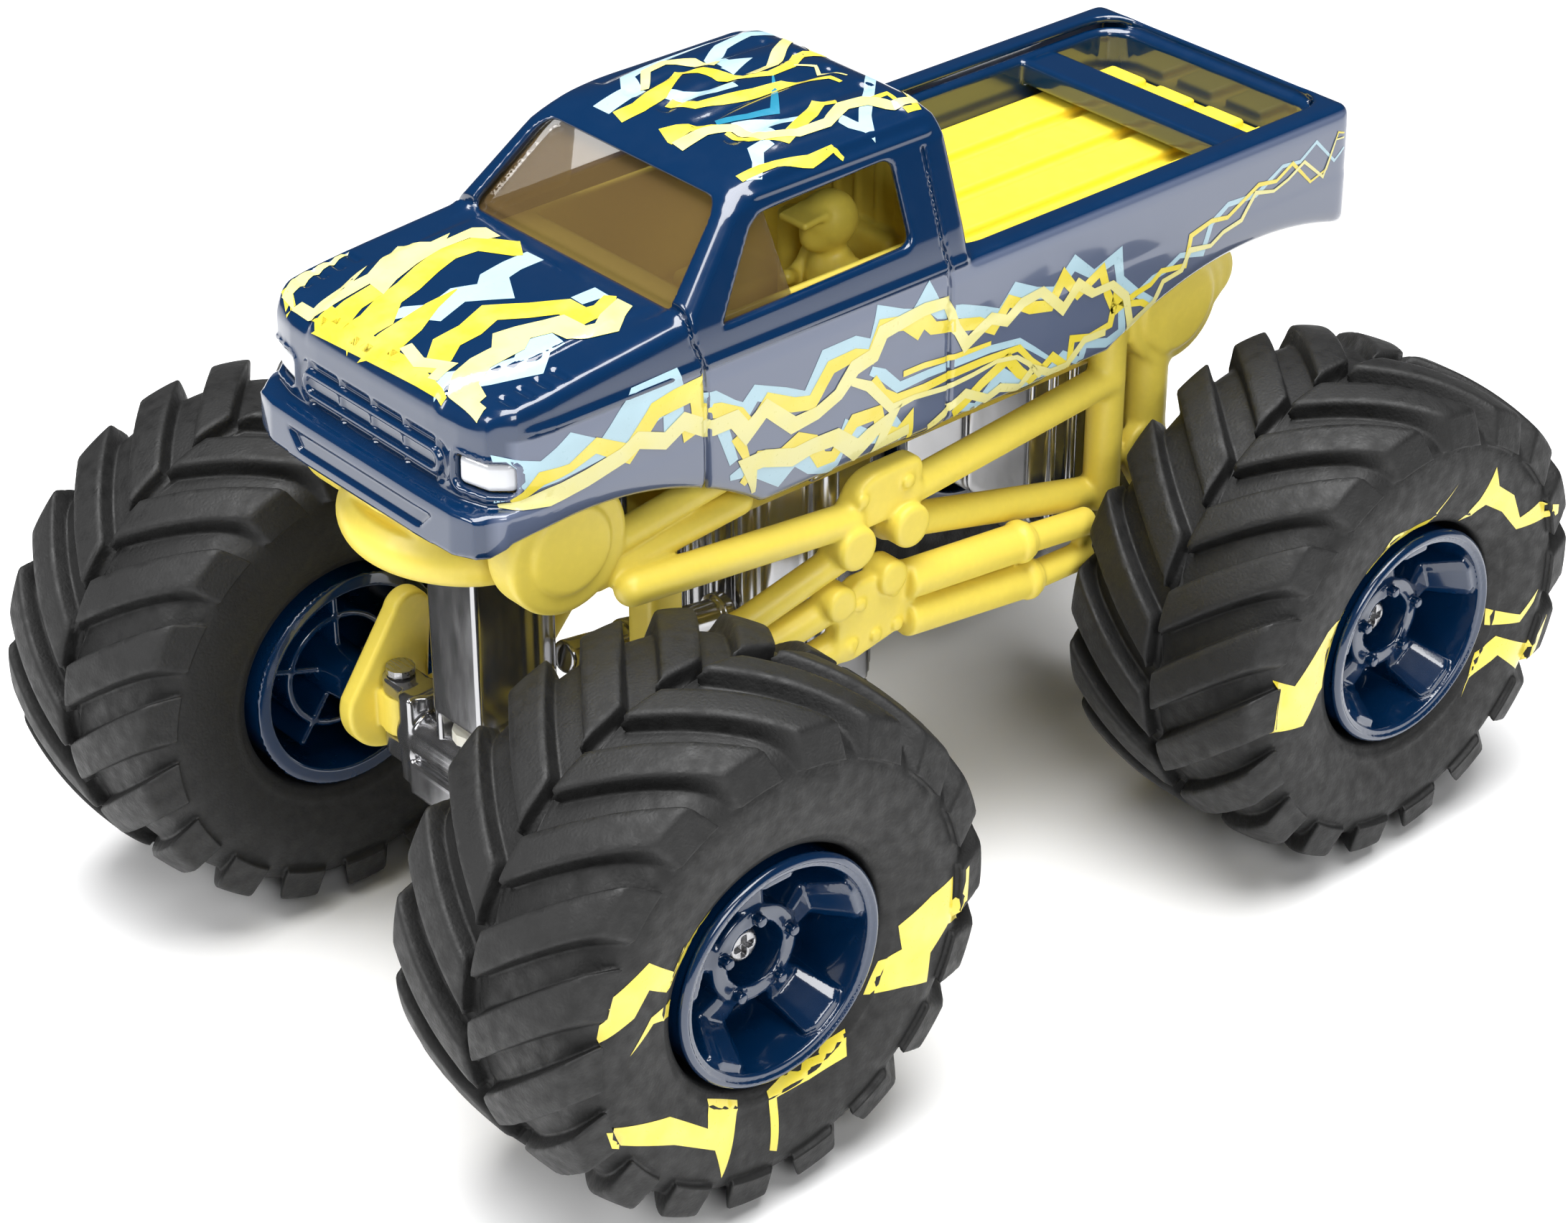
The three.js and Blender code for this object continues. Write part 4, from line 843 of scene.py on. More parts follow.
def case(x, y, z):
    """The fluted battery case."""
    low, high = node_box("battery_case")
    walls = box(x, y, z, (-13.1, -21.3, low[2]), (13.1, 4.1, high[2]), 1.8)
    columns = [rod(x, y, z, (at, end, low[2]), (at, end, high[2]), 2.15, 0.5)
               for at in (-9, -3, 3, 9) for end in (-21.4, 4.2)]
    cheek = rod(np.abs(x), y, z, (13.1, -8.6, low[2]), (13.1, -8.6, high[2]), 3.2, 0.5)
    room = box(x, y, z, (-11.3, -19.5, 20), (11.3, 2.3, 82.4), 0.6)
    seat = box(x, y, z, (-12.4, -20.6, 20), (12.4, 8, low[2] + 2), 0.3)
    return smax(smin(smin(walls, join(columns, 0.4), 0.6), cheek, 0.8), -np.minimum(room, seat), 0.3)


GEARBOX = polygon(rounded([(38, 53, 3), (49, 52, 3), (59.5, 32, 3), (82, 32, 3), (85.2, 37, 3), (85.2, 52, 3),
                           (76, 58, 3), (64, 66, 3), (60, 84, 2), (38, 84, 2)]))


def gearbox(x, y, z):
    outer = smax(GEARBOX(y, z), slab(x, 0.15, 15.9), 1.0)
    room = smax(GEARBOX(y, z) + 1.6, x - 14.4, 0.6)
    hub = rod(x, y, z, (15, REAR_Y, AXLE_Z), (23.9, REAR_Y, AXLE_Z), 4.9, 0.8)
    bore = rod(x, y, z, (8, REAR_Y, AXLE_Z), (30, REAR_Y, AXLE_Z), 2.2, 0.2)
    face = smax(GEARBOX(y, z) + 0.8, slab(x, 15, 17), 0.3)
    ribs = join([smax(np.abs(y - at) - 0.7, face, 0.3) for at in (43, 48, 53)], 0.3)
    return smax(smin(smax(smin(outer, ribs, 0.5), -room, 0.3), hub, 0.8), -bore, 0.2)


PIN_X = 20
ARM_Y = 12.45


def beam(x, y, z):
    """The front axle beam: an open channel with forked ends for the kingpins."""
    ax = np.abs(x)
    yy = y - FRONT_Y
    bar = box(x, yy, z, (-13, -4.6, 33.6), (13, 4.6, 40.2), 0.8)
    channel = box(x, yy, z, (-10, -2.6, 28), (10, 2.6, 36), 0.4)
    web = box(ax, yy, z, (12, -4.2, 35), (15.6, 4.2, 52), 0.7)
    lug = np.sqrt(np.maximum(slab(ax, 14, PIN_X), 0) ** 2 + yy ** 2) - 3.1
    ears = np.minimum(smax(lug, slab(z, 37, 41), 0.5), smax(lug, slab(z, 49, 52), 0.5))
    bore = post(ax, yy, z, (PIN_X, 0), 1.62, 30, 60)
    casing = rod(x, yy, z, (-16, 0, 44), (16, 0, 44), 4.5, 0.5)
    bar = smin(smax(bar, -channel, 0.4), casing, 0.8)
    return smax(smin(smin(bar, web, 0.6), ears, 0.6), -bore, 0.2)


def knuckle(x, y, z):
    """A strap over the axle, with the kingpin's eye and the steering arm behind it."""
    ends = (0, FRONT_Y, AXLE_Z), (0, FRONT_Y + 5.5, 60)
    plate = smax(tube(0, y, z, *ends, 8.3, 4), slab(x, 23.4, 27.1), 0.9)
    dished = smax(tube(0, y, z, *ends, 6.6, 2.6), 26.5 - x, 0.3)
    plate = smax(plate, -dished, 0.4)
    yy = y - FRONT_Y
    eye = post(x, yy, z, (PIN_X, 0), 3.15, 41.35, 48.65)
    neck = box(x, yy, z, (20, -2.9, 41.4), (24, 2.9, 48.6), 0.5)
    arm = box(x, yy, z, (20.2, 2, 42.1), (25.8, 13.2, 45.3), 0.6)
    ball = post(x, yy, z, (PIN_X, ARM_Y), 2.15, 42.1, 45.3)
    pin = rod(x, yy, z, (PIN_X, ARM_Y, 45), (PIN_X, ARM_Y, 49.3), 1.15, 0.3)
    bore = post(x, yy, z, (PIN_X, 0), 1.65, 30, 60)
    seat = rod(x, yy, z, (23.7, 0, AXLE_Z), (30, 0, AXLE_Z), 2.1, 0.1)
    return smax(join([plate, eye, neck, arm, ball, pin], 0.6), -np.minimum(bore, seat), 0.2)


def exhaust(x, y, z):
    """A plated pipe that waves along under the sill."""
    wave_z = 91.3 + 0.95 * np.cos((y - 14) / 12 * math.pi)
    away = np.sqrt((x - 25) ** 2 + (z - wave_z) ** 2)
    return smax(away - 1.5, slab(y, -22, 37), 0.6)


def propeller(x, y, z):
    shaft = rod(x, y, z, (7, -59.1, 62.4), (7, -24.3, 57), 2.85)
    rings = []
    for at in (-46.9, -27.4):
        drop = (at + 56.6) * 0.154
        rings.append(rod(x, y, z, (7, at, 62 - drop), (7, at + 2.6, 61.6 - drop), 3.7))
    return join([shaft, *rings], 0.5)


# ---------------------------------------------------------------- wheels
PITCH = 20
TREAD_R = 44.5
LUG_HALF = 4.6
PER_DEGREE = TREAD_R * math.pi / 180
BEAD_R = 20.9


def lug_turn(x):
    """Where the lugs of a row stand at this place across the tread, in degrees."""
    slant = np.where(x > 0, 124 - 24 * np.abs(x) / 20.8, 112 - 22 * np.abs(x) / 20.8)
    mid = 118 + 6 * np.clip(x / 0.9, -1, 1)
    return np.where(np.abs(x) < 0.9, mid, slant)


def tyre(s, x, r):
    """A tyre, where s runs round the tread from the middle of a lug."""
    ax = np.abs(x)
    crown = TREAD_R - 2.4 * np.clip((ax - 5) / 16, 0, 1.3) ** 2
    width = 22 - ((r - 31) / 10.5) ** 2 * 2.6
    rings = 0.3 * np.exp(-((r - 23.2) / 0.45) ** 2)
    carcass = smax(r - crown + 3.3, ax - width - rings, 4.5)
    away = np.abs((s / PER_DEGREE + PITCH / 2) % PITCH - PITCH / 2) * PER_DEGREE
    across = away - LUG_HALF + 0.15 + (r - 41.5) * 0.16
    end = np.maximum(ax - 21.1 + (r - 41) * 0.3, 0.7 - ax)
    lug = smax(smax(across, end, 0.7), r - crown, 0.8)
    lug = np.maximum(lug, 36 - r)
    return smax(smin(carcass, lug, 0.45), BEAD_R - r, 0.8)


def tyre_points():
    half = np.array([0.6, 2, 4.2, 5.3, 5.8, 6.2, 6.6, 7.0, 7.6, 8.7])
    edges = np.concatenate([-half[::-1], half, [10]])
    turns = np.concatenate([[-10]] + [edges + PITCH * i for i in range(360 // PITCH)]) * PER_DEGREE
    across = steps(-24, 24, 0.8)
    radii = np.concatenate([steps(20, 33, 1.0)[:-1], steps(33, 45.4, 0.55)])
    points, quads = net(tyre, [turns, across, radii], wrap=True)
    points = settle(tyre, points, 0.6, 2)
    s, x, r = points.T
    angle = np.radians(s / PER_DEGREE + lug_turn(x))
    return np.stack([x, r * np.cos(angle), r * np.sin(angle)], 1), quads


def rim(x, y, z):
    """A deep five-spoke rim, its outer face towards +X."""
    r = np.sqrt(y * y + z * z)
    fifth = 2 * math.pi / 5
    turn = (np.arctan2(z, y) - math.pi / 2 + fifth / 2) % fifth - fifth / 2
    u, v = r * np.cos(turn), r * np.abs(np.sin(turn))
    lips = 0.65 * smooth((x - 19.6) / 0.7) + 1.0 * smooth((-20.8 - x) / 0.5)
    barrel = smax(r - 19.35 - lips, slab(x, -21.6, 21.55), 1.5)
    step = 0.45 * smooth((18.75 - r) / 0.2)
    barrel = np.maximum(barrel, x - 21.5 + step)
    dish = smax(r - 16.7 - 0.9 * smooth((x - 9) / 12), 7 - x, 1.0)
    shape = smax(smax(barrel, -dish, 0.5), -smax(r - 17, x - 2.6, 0.8), 0.5)
    half = 2.5 + np.maximum(u - 8, 0) * 0.22
    face = np.where(u < 12.2, x - 14.6 + (u - 8) * 0.22, x - 13.7 - (u - 12.2) * 1.65)
    face = np.maximum(face, x - 20.2) + 0.5 * np.maximum(v - half * 0.55, 0)
    spoke = smax(smax(v - half, face, 0.5), np.maximum(3 - x, r - 18.4), 0.3)
    hub = smax(r - 8.5, slab(x, 2, 14.9), 0.7)
    shape = smin(shape, smin(spoke, hub, 0.5), 0.4)
    stud = smax(np.sqrt((u - 6.9) ** 2 + v ** 2) - 0.98, slab(x, 13, 16.8), 0.35)
    between = fifth / 2 - np.abs(turn)
    window = np.sqrt((r * np.cos(between) - 12.4) ** 2 + (r * np.sin(between)) ** 2) - 2.2
    shape = smax(shape, -smax(window, slab(x, 4, 9), 0.3), 0.4)
    ring = smax(np.abs(r - 10.2) - 0.6, slab(x, -17.2, 3), 0.25)
    rib = smax(v - 0.55, np.maximum(slab(x, -17.2, 3), slab(r, 4, 15)), 0.25)
    stem = smax(r - 4.6, slab(x, -26.9, 6), 0.4)
    shape = smin(smin(shape, smin(ring, rib, 0.3), 0.4), stem, 0.5)
    hole = smax(r - 5.5, 5.2 - x, 0.4)
    shape = smin(smax(shape, -hole, 0.4), stud, 0.3)
    return smax(shape, 2.15 - r, 0.2)


def wheel_screw(x, y, z):
    """A domed cross-head screw."""
    r = np.sqrt(y * y + z * z)
    head = smax(r - 3.2 + 0.12 * np.maximum(x - 10, 0) ** 2, slab(x, 9.6, 12.3), 0.6)
    shank = smax(r - 1.3, slab(x, 5.5, 10), 0.3)
    ay, az = np.abs(y), np.abs(z)
    cross = np.maximum(np.minimum(np.maximum(ay - 0.5, az - 1.9), np.maximum(az - 0.5, ay - 1.9)), 11 - x)
    return smax(smin(head, shank, 0.4), -cross, 0.2)


# ---------------------------------------------------------------- putting the pieces in place


def make_wheels():
    tyre_look = tyre_points()
    rim_look = moulded(rim, (-27, -20.6, -20.6), (21.8, 20.6, 20.6), 0.42)
    screw_look = moulded(wheel_screw, (5.4, -3.3, -3.3), (12.4, 3.3, 3.3), 0.25)
    for place_name, body_name in WHEELS.items():
        centre = WHEEL_CENTRE[place_name]
        for kind, geometry, material, finish in (
            ("tyre", tyre_look, RUBBER, "tyre_rubber"),
            ("rim", rim_look, NAVY_RIM, "navy_rim"),
            ("wheel_screw", screw_look, STEEL, "steel"),
        ):
            shape = geometry if centre[0] > 0 else flip(*geometry)
            node = f"{kind}_{place_name}"
            place(node + "_look", (shape[0] + centre, shape[1]), material, body_name, finish, [node])


# Each row is a name, shape, material and slot, with the grid spacing last. A mirrored row has its bodies too.
SINGLE = [
    ("windshield", glazing, SMOKED, "smoke_glass", 0.5),
    ("interior_tray", tray, YELLOW, "yellow_plastic", 0.7),
    ("driver_figure", driver, YELLOW, "driver_plastic", 0.32),
    ("bed_floor", bed_floor, BRIGHT, "bright_yellow_plastic", 0.55),
    ("chassis_deck", deck, YELLOW, "yellow_plastic", 0.7),
    ("front_bumper", bumper, YELLOW, "yellow_plastic", 0.55),
    ("front_housing", housing, PLATED, "plated_trim", 0.6),
    ("battery_case", case, PLATED, "plated_trim", 0.6),
    ("front_axle_beam", beam, PLATED, "plated_trim", 0.45),
    ("drive_shaft", propeller, PLATED, "plated_trim", 0.45),
]
MIRRORED = [
    ("side_frame", side_frame, YELLOW, ("chassis", "chassis"), "yellow_plastic", 0.6),
    ("link_set", link_set, YELLOW, ("chassis", "chassis"), "yellow_plastic", 0.5),
    ("headlight", headlamp, LAMP, ("chassis", "chassis"), "lamp_white", 0.3),
    ("exhaust_pipe", exhaust, PLATED, ("chassis", "chassis"), "plated_trim", 0.35),
    ("gearbox", gearbox, PLATED, ("chassis", "chassis"), "plated_trim", 0.6),
    ("knuckle", knuckle, YELLOW, ("front_left_knuckle", "front_right_knuckle"), "yellow_plastic", 0.4),
]
SHOWN_CAD = {
    "circuit_board": BOARD,
    "drive_motor": STEEL, "axle_gear": WHITE, "idler_gear": WHITE, "motor_pinion": BRASS,
    "steering_servo": BLACK, "servo_arm": WHITE, "tie_rod": BLACK, "switch_slider": BLACK,
    "battery_door": BLACK, "battery_contacts": BRASS, "battery_door_screw": STEEL,
    "rear_axle_shaft": STEEL, "kingpin_left": STEEL, "kingpin_right": STEEL,
    "spindle_left": STEEL, "spindle_right": STEEL,
    **{f"battery_cell_{i}": WRAP for i in range(1, 5)}, **{f"body_screw_{i}": STEEL for i in range(1, 5)},
}


def make_parts():
    shell = moulded(body, BODY_LOW, BODY_HIGH, 0.48)
    body_look = place("body_shell_look", shell, NAVY, "chassis", "navy_body", ["body_shell"])
    for name, shape, material, finish, size in SINGLE:
        low, high = node_box(name)
        place(name + "_look", moulded(shape, low - 1, high + 1, size), material, "chassis", finish, [name])
    for name, shape, material, bodies, finish, size in MIRRORED:
        low, high = node_box(name + "_left")
        place_pair(name, moulded(shape, low - 1, high + 1, size), material, bodies, finish)
    for name, material in SHOWN_CAD.items():
        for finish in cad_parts[name].material_slots:
            finish.material = material
    return body_look


# ---------------------------------------------------------------- printed bolts
# Ribbons are points (u, v, width), and areas are outlines (u, v). On the sides u is y and v is z, and on top u is x
# and v is y. The bolts of a sidewall are measured from the middle of the wheel.
SIDE_PALE = [
    [(-57,114.5,3),(-53,114.5,4)],
    [(-50,115.5,3),(-47,115.5,2.5),(-43.5,112.5,3),(-41,111,3),(-38.5,113.5,2.6),(-33,111,3),(-28,108.8,2.5),
     (-24,114.8,2.8),(-18,115,2.6),(-14,113,2.6),(-12,117.8,3.4),(-8,116.2,3),(-5,115.2,3),(-2,118,3.4),
     (0.5,114.2,2),(5,113,2.4),(10,111,2.4),(14,109.3,2.2),(17.5,112.8,2.4),(22,110.6,2.2),(26.5,109.2,2.2),
     (31,113.2,2.4),(35.5,109.6,1.6),(41.3,111.3,2.2),(42,106.5,1.8),(46,102.8,1.6),(50.5,99.6,1.2)],
    [(-45.5,110,2.4),(-43.2,103,1.8)],
    [(-44,100.5,1),(-40,101,3),(-37.5,99.5,3),(-34,97,3),(-30.5,99.5,3),(-27,96.5,3),(-22.5,94.5,2.4),
     (-19.5,100.5,2.5),(-15.5,97.5,2.5),(-13,96.5,2.2),(-9.5,98,2.2),(-7,94.5,2)],
    [(-14.5,109,1.5),(-12,107.5,2),(-8.5,104,1.8),(-2,104.2,1.5),(4,104,1.5),(12,103.8,1.4),(18.5,103,1.2),
     (22,100.3,1),(28.5,95,.6)],
    [(44,101.5,1),(50,104.2,1.2),(53,104.6,1),(56.5,106.3,1),(62,105,1.2),(64,109.9,1.2),(68,112.2,1),(75,111.8,1),
     (81.5,115.2,.7),(86,114.7,.7),(90,117.2,.6),(95,112.2,.5),(97.5,114,.4)],
    [(4,96,2),(9,94,1.5),(14.5,98.3,2.4),(19.5,94.5,2),(24.5,94,1.6),(29,96.8,1.6),(33.5,94,1.4),(34,97.2,1.6),
     (39.5,95.5,1.8),(43.2,96.5,1.8),(42.5,101,1.4)],
]
SIDE_PALE_AREA = [
    [(-86.5,118.5),(-80,116.5),(-74.5,119.5),(-69,116.5),(-65,120),(-62.5,122.5),(-53.5,122.8),(-52.5,119),
     (-57,116),(-63,114),(-70,113),(-80,112),(-86.5,110.5)],
]
SIDE_YELLOW = [
    [(-84.5,110.6,1),(-80,113.6,2.4),(-75,113.8,1.5),(-70,115.8,2.4),(-64,112.2,3),(-58.5,117.5,3),(-54.5,118,3.4),
     (-50,118.3,3.4),(-50,114,2.6),(-46,113.2,2.5),(-42,111,2.5),(-39.5,108,2),(-36,111.6,2),(-31,108.8,2.5),
     (-27,107.8,2.5),(-23,112.6,2.6),(-18,113,2.2),(-14.5,111.5,2.4),(-12,116,2.6),(-7,115,2.6),(-4.5,112.8,2.6),
     (-3,114.5,2.6),(-1,112,2.2),(4,110.8,2.2),(9,109.5,2.2),(12.5,107.4,2),(16,111.2,2),(21,108.3,2.2),
     (25.5,107.2,2),(28.5,111.5,2.2),(32,107.2,1.8),(37.5,109.8,1.8),(39,105,1.6),(41,101,1.6),(46,102.7,1.2),
     (49.5,103.2,1),(52,104.9,1),(57.8,104,1),(59,109.2,1),(64,110.4,.9),(68,109.8,.8),(75.5,113.6,.8),
     (80,112.9,.7),(84,115,.7),(89,110,.5),(93,111.2,.4),(95.6,117.4,.3),(97.2,116.8,.3)],
    [(-53,114,1.6),(-52,110.4,2.4)],
    [(-42.5,107.5,2.6),(-40.5,102.5,1.2)],
    [(-14,107.5,1.5),(-12,104,2),(-9,102,1.9),(-3,101.9,1.6),(2,102.2,1.5),(10,102.2,1.4),(18.5,101.8,1.2),
     (21.5,98.5,1),(26,94.8,.6)],
    [(-7.5,106,1.1),(-3,106,1.1),(4,105.2,1),(12,104.9,.8)],
    [(-41.5,98.5,1.5),(-38,102,2.4),(-33.5,101,2),(-30,102,3),(-27,100.5,3),(-25,96.8,2.6),(-22.5,96.5,2),
     (-18,101.3,2.6),(-13,101,2.4),(-12,97.5,2),(-8.5,95.5,2),(-5.8,97.5,1.8),(-5.5,93.6,1)],
    [(4,94.5,1.8),(10,98,2),(16,100.6,2),(19,97,2),(22,94.6,1.5),(26.5,97.4,1.6),(30.5,94,1.5),(31,99.2,1.4),
     (35,98.2,1.2),(40,98.8,1.4),(41,103.5,1.5),(43.5,101.5,1.3),(47.5,100.5,1.2),(50,98.7,1)],
]
SIDE_CREAM = [
    [(-86,110,.8),(-79,110.2,3),(-72,111,3),(-65,112.3,2.8),(-62,113.8,2.8),(-56.8,111.8,2.8),(-53,113.8,2.8),
     (-48,110.6,2.9),(-43,110.6,2.9),(-40.5,107.2,3),(-36.5,110.2,2.6),(-31,105.2,2.8),(-26,105.6,2.4),
     (-21.5,107.3,2.4),(-18,110.8,3),(-14,111.6,2.8),(-12,115,2.8),(-3,116,2.3),(2,115.6,2),(4,110.5,1.8),
     (6.3,106.6,2.2),(12,109.4,2),(15.5,107.8,2),(19,109.9,2),(23.5,110.4,1.8),(28.5,105.6,1.9),(32,109,1.9),
     (35.5,106.2,1.6),(40,106.3,1.5),(43.5,103,1.6),(45,97,1.5),(50.5,99.6,1.2),(52.5,102.8,1),(57,103.4,.9),
     (58.8,106.6,1.1),(64,105.8,.8),(67,107.4,.8),(71.5,108.2,.8),(74.8,112.3,.8),(79.5,111.2,.6),(83,112.3,.6),
     (87,114.4,.6),(92.2,110,.5),(95,116.2,.3),(97.2,116,.3)],
    [(-18.5,108.5,1.4),(-15,106.5,1.8),(-10,100.7,1.6),(-5,101,1),(2,100.2,1),(8,100.5,.9),(13.5,101.1,.8),
     (18,100.3,.8),(21,98,.9),(24,94.6,.9)],
    [(-39,96,.6),(-40.5,101.5,3),(-37,101.5,3),(-31,99.5,3.2),(-27,100,2.8),(-22,99.8,3),(-17.5,95.8,3.4),
     (-14.5,97.5,3),(-10,99,3),(-12.5,95,2),(-6,95.5,2)],
    [(-1.5,94,1.5),(3,96,1.5),(6.5,97.6,1.6),(11.5,94.8,1.6),(14.5,95.8,1.6),(19,94.2,1.4),(22,96.8,1.4),
     (26,94.6,1.4),(30,94.5,1.4),(34,98,1.4),(39,97.8,1.4)],
]
HOOD_PALE = [
    [(-4,-53.2,4),(-3.8,-58,4),(-3,-62,4.4),(1,-64.8,5.5),(-2.5,-69.5,4.5),(-1,-75,4.6),(-5,-78,3),(-5.5,-80,2)],
    [(12.5,-53.2,3.6),(12.3,-58,3)],
    [(19,-67,4),(18.5,-71,5),(21.5,-74.5,5),(19,-80,4),(17,-83,4),(14,-86.5,4)],
]
HOOD_YELLOW = [
    [(-7.5,-53.2,5),(-8,-54,5),(-13.5,-57.5,4.5),(-14,-63,4.2),(-12.5,-68,4.4),(-10.5,-73,4.4),(-9.5,-77.5,4.4),
     (-6.5,-82,6),(-6.5,-85.5,6),(-7.5,-87.3,6)],
    [(-4,-68.5,.3),(-3,-74,2.5),(-1,-80,5),(0,-85,6),(.5,-87.3,8)],
    [(14.5,-53.2,2),(17,-56.5,3.4),(17,-60.2,4),(12.5,-60.5,4.5),(9.5,-65,4.6),(5.5,-69.5,4.6),(7.2,-74.5,4.6),
     (7.2,-79,4.6),(10,-82.5,4),(11,-85.5,3)],
    [(-27,-84.5,1.5),(-22.5,-86.8,1.5)],
    [(-15.5,-86,4),(-5,-86.3,3),(5,-86.3,2.6),(11,-86.5,2),(17,-87,1)],
]
HOOD_YELLOW_AREA = [
    [(-15.5,-76.5),(-11.6,-77),(-11,-81.5),(-9.5,-84.5),(-12,-87.3),(-16.3,-87.2),(-14,-85.5),(-15,-82)],
]
HOOD_CREAM = [[(3,-83.5,2),(8,-84.8,2),(12.5,-82.8,2),(13,-86,2)]]
HOOD_CREAM_AREA = [
    [(-17,-52.9),(-13,-53.1),(-13.5,-55.2),(-15.8,-57),(-16,-62.5),(-15,-68),(-13.5,-73),(-11.5,-77),(-15.8,-76.5),
     (-15.3,-85),(-16.5,-87),(-22.3,-86.8),(-21.5,-85.3),(-18.5,-85.3),(-19.5,-79.5),(-20.5,-73.5),(-18.4,-77.8),
     (-18.4,-75),(-20.5,-71),(-22.8,-66),(-19,-62.3),(-19.3,-58.3),(-18,-60),(-18.4,-54.6)],
    [(16,-53),(19.5,-52.9),(21.3,-56),(23.7,-59),(22.2,-62.5),(20.5,-66.5),(17.5,-66.8),(16.2,-70),(18,-72.5),
     (18,-79),(19,-82),(22.7,-83.4),(22.9,-84.8),(24.8,-85),(24.8,-86.8),(17,-86.3),(14.8,-83.5),(13.7,-79.5),
     (13.8,-75.5),(10.8,-73),(11.8,-69.5),(13.5,-65.5),(14.5,-62.2),(19.5,-62),(20,-60.6),(18.3,-58.3)],
    [(-27.8,-71.8),(-27,-73),(-26,-80),(-24.5,-85),(-21.5,-86.8),(-26,-86),(-28,-82.5)],
]
ROOF_PALE = [
    [(-14.2,5,2.5),(-16,1,2),(-14.5,-6,2.2),(-12,-10,2.5),(-8,-10.5,2.5),(-7,-8,2.2),(-6,-12,2.5)],
    [(-17.5,-6,1),(-17.3,-12,1.4),(-17.2,-19,1.6),(-16.5,-24,2.2),(-12.5,-26,3.6),(-12.5,-29,3.8),(-12.5,-32.7,4)],
    [(-1,-14.5,2.2),(-2,-18,2.6),(-4.5,-22.5,2.8),(-9,-25,2.5)],
    [(6.5,8,1.6),(11,3.5,1.8),(15,-.5,1.8),(18.5,-4.5,2),(21.5,-6.8,2.4),(18,-9.5,1.6)],
    [(15,-15,1.5),(13,-17.5,2.6),(11,-22,3),(16,-21.5,2)],
    [(17,-23,2),(17.3,-26.2,2.4),(20,-28,1.8),(22,-30,1.6),(21.5,-32,1.2)],
]
ROOF_TEAL = [[(.8,-8.2,.3),(5,-11.5,1),(10.2,-16,1.5),(9,-20.5,1.5),(6.5,-25,1.8)]]
ROOF_YELLOW = [
    [(-11.5,8,1.6),(-5,5.5,1.8),(-2,4.4,2.6),(-3.5,1,2.4),(-.5,-3.5,2.2),(0,-8,1.8),(-2,-11,2.2),(-5.5,-14,2.6),
     (-9,-15,2.4),(-11.5,-17.5,2),(-9.5,-21,2.2),(-8,-25,4),(-7.5,-29,3.4),(-8.5,-32.6,3.6)],
    [(-5,-25,2.2),(0,-23.5,2),(1.5,-20,2.4),(3.2,-14,2.4),(3.8,-8.5,2.4),(5.6,-5,1.2),(7,-1.6,1.2),(9.3,-1.3,.8)],
    [(12,8,1.6),(16.5,6,1.2),(21,4.3,1.2),(20.8,2,1.4)],
    [(14,-6.5,2),(12.5,-9,2.6),(15,-13,2.6),(16.5,-17,2.2),(17.8,-20.5,1.8),(14.5,-25,1.2),(10,-25.8,1)],
    [(24,-14,.8),(22.5,-15,.9),(23,-20,1.4),(21.5,-26,1.6),(21,-32.7,1.8)],
    [(18.5,2.2,.7),(16.5,2,1),(16.7,-2,1)],
]
ROOF_YELLOW_AREA = [[(7.5,-25.2),(4,-27),(1.5,-29),(0,-31.2),(4,-32.7),(5,-32.7),(5,-29),(7,-26)]]
ROOF_CREAM = [
    [(-14.5,8,1.8),(-10,4.5,1.8),(-6.5,-.5,2.2),(-3,-5,2.2),(-2.6,-10,2)],
    [(-9,-11.5,2),(-13,-13,2.2),(-15.8,-17,1.6),(-15.5,-21,1.6),(-11.5,-24.5,1.4)],
    [(15,8,1),(19.3,5,1.6),(19,1,1.6),(16.5,-2.8,2.4),(16,-7,2.4),(18,-12,1.4),(17.8,-18,1.4),(15.5,-23,2.2),
     (10,-24.2,1.8),(7,-27.5,2.6),(6.3,-32.7,3.2)],
    [(0,-3,.6),(2,-.2,.6),(4,-1.2,.8),(5,.3,.6),(8,1.2,.4)],
]
WALL_BOLTS = [
    [(38,2.5),(30,.5),(24,-3),(24.5,-7.5),(20.5,-8.5),(17.5,-13.5),(24.5,-14.5),(29.5,-16),(30,-10.5),(34,-7),
     (37.5,-8.5)],
    [(-13,17.5),(-19,14),(-21,10.5),(-26.5,15.5),(-34.5,11.5),(-36,5),(-29.5,7),(-26.5,10.5),(-22.5,7.5),(-15.5,14)],
    [(-21,5),(-26,5),(-30.5,.5),(-25.5,3.5),(-21.5,2)],
    [(13.5,-18),(4,-20.5),(-2.5,-22),(-3.5,-32),(-2,-33),(-1,-23.5),(5.5,-23.5),(13,-22.5)],
    [(-35.5,-11),(-23,-15),(-15.5,-21.5),(-14.5,-17),(-8.5,-20.5),(-10,-24),(-13,-32.5),(-14.5,-26),(-22.5,-20.5),
     (-34.5,-14.5)],
]

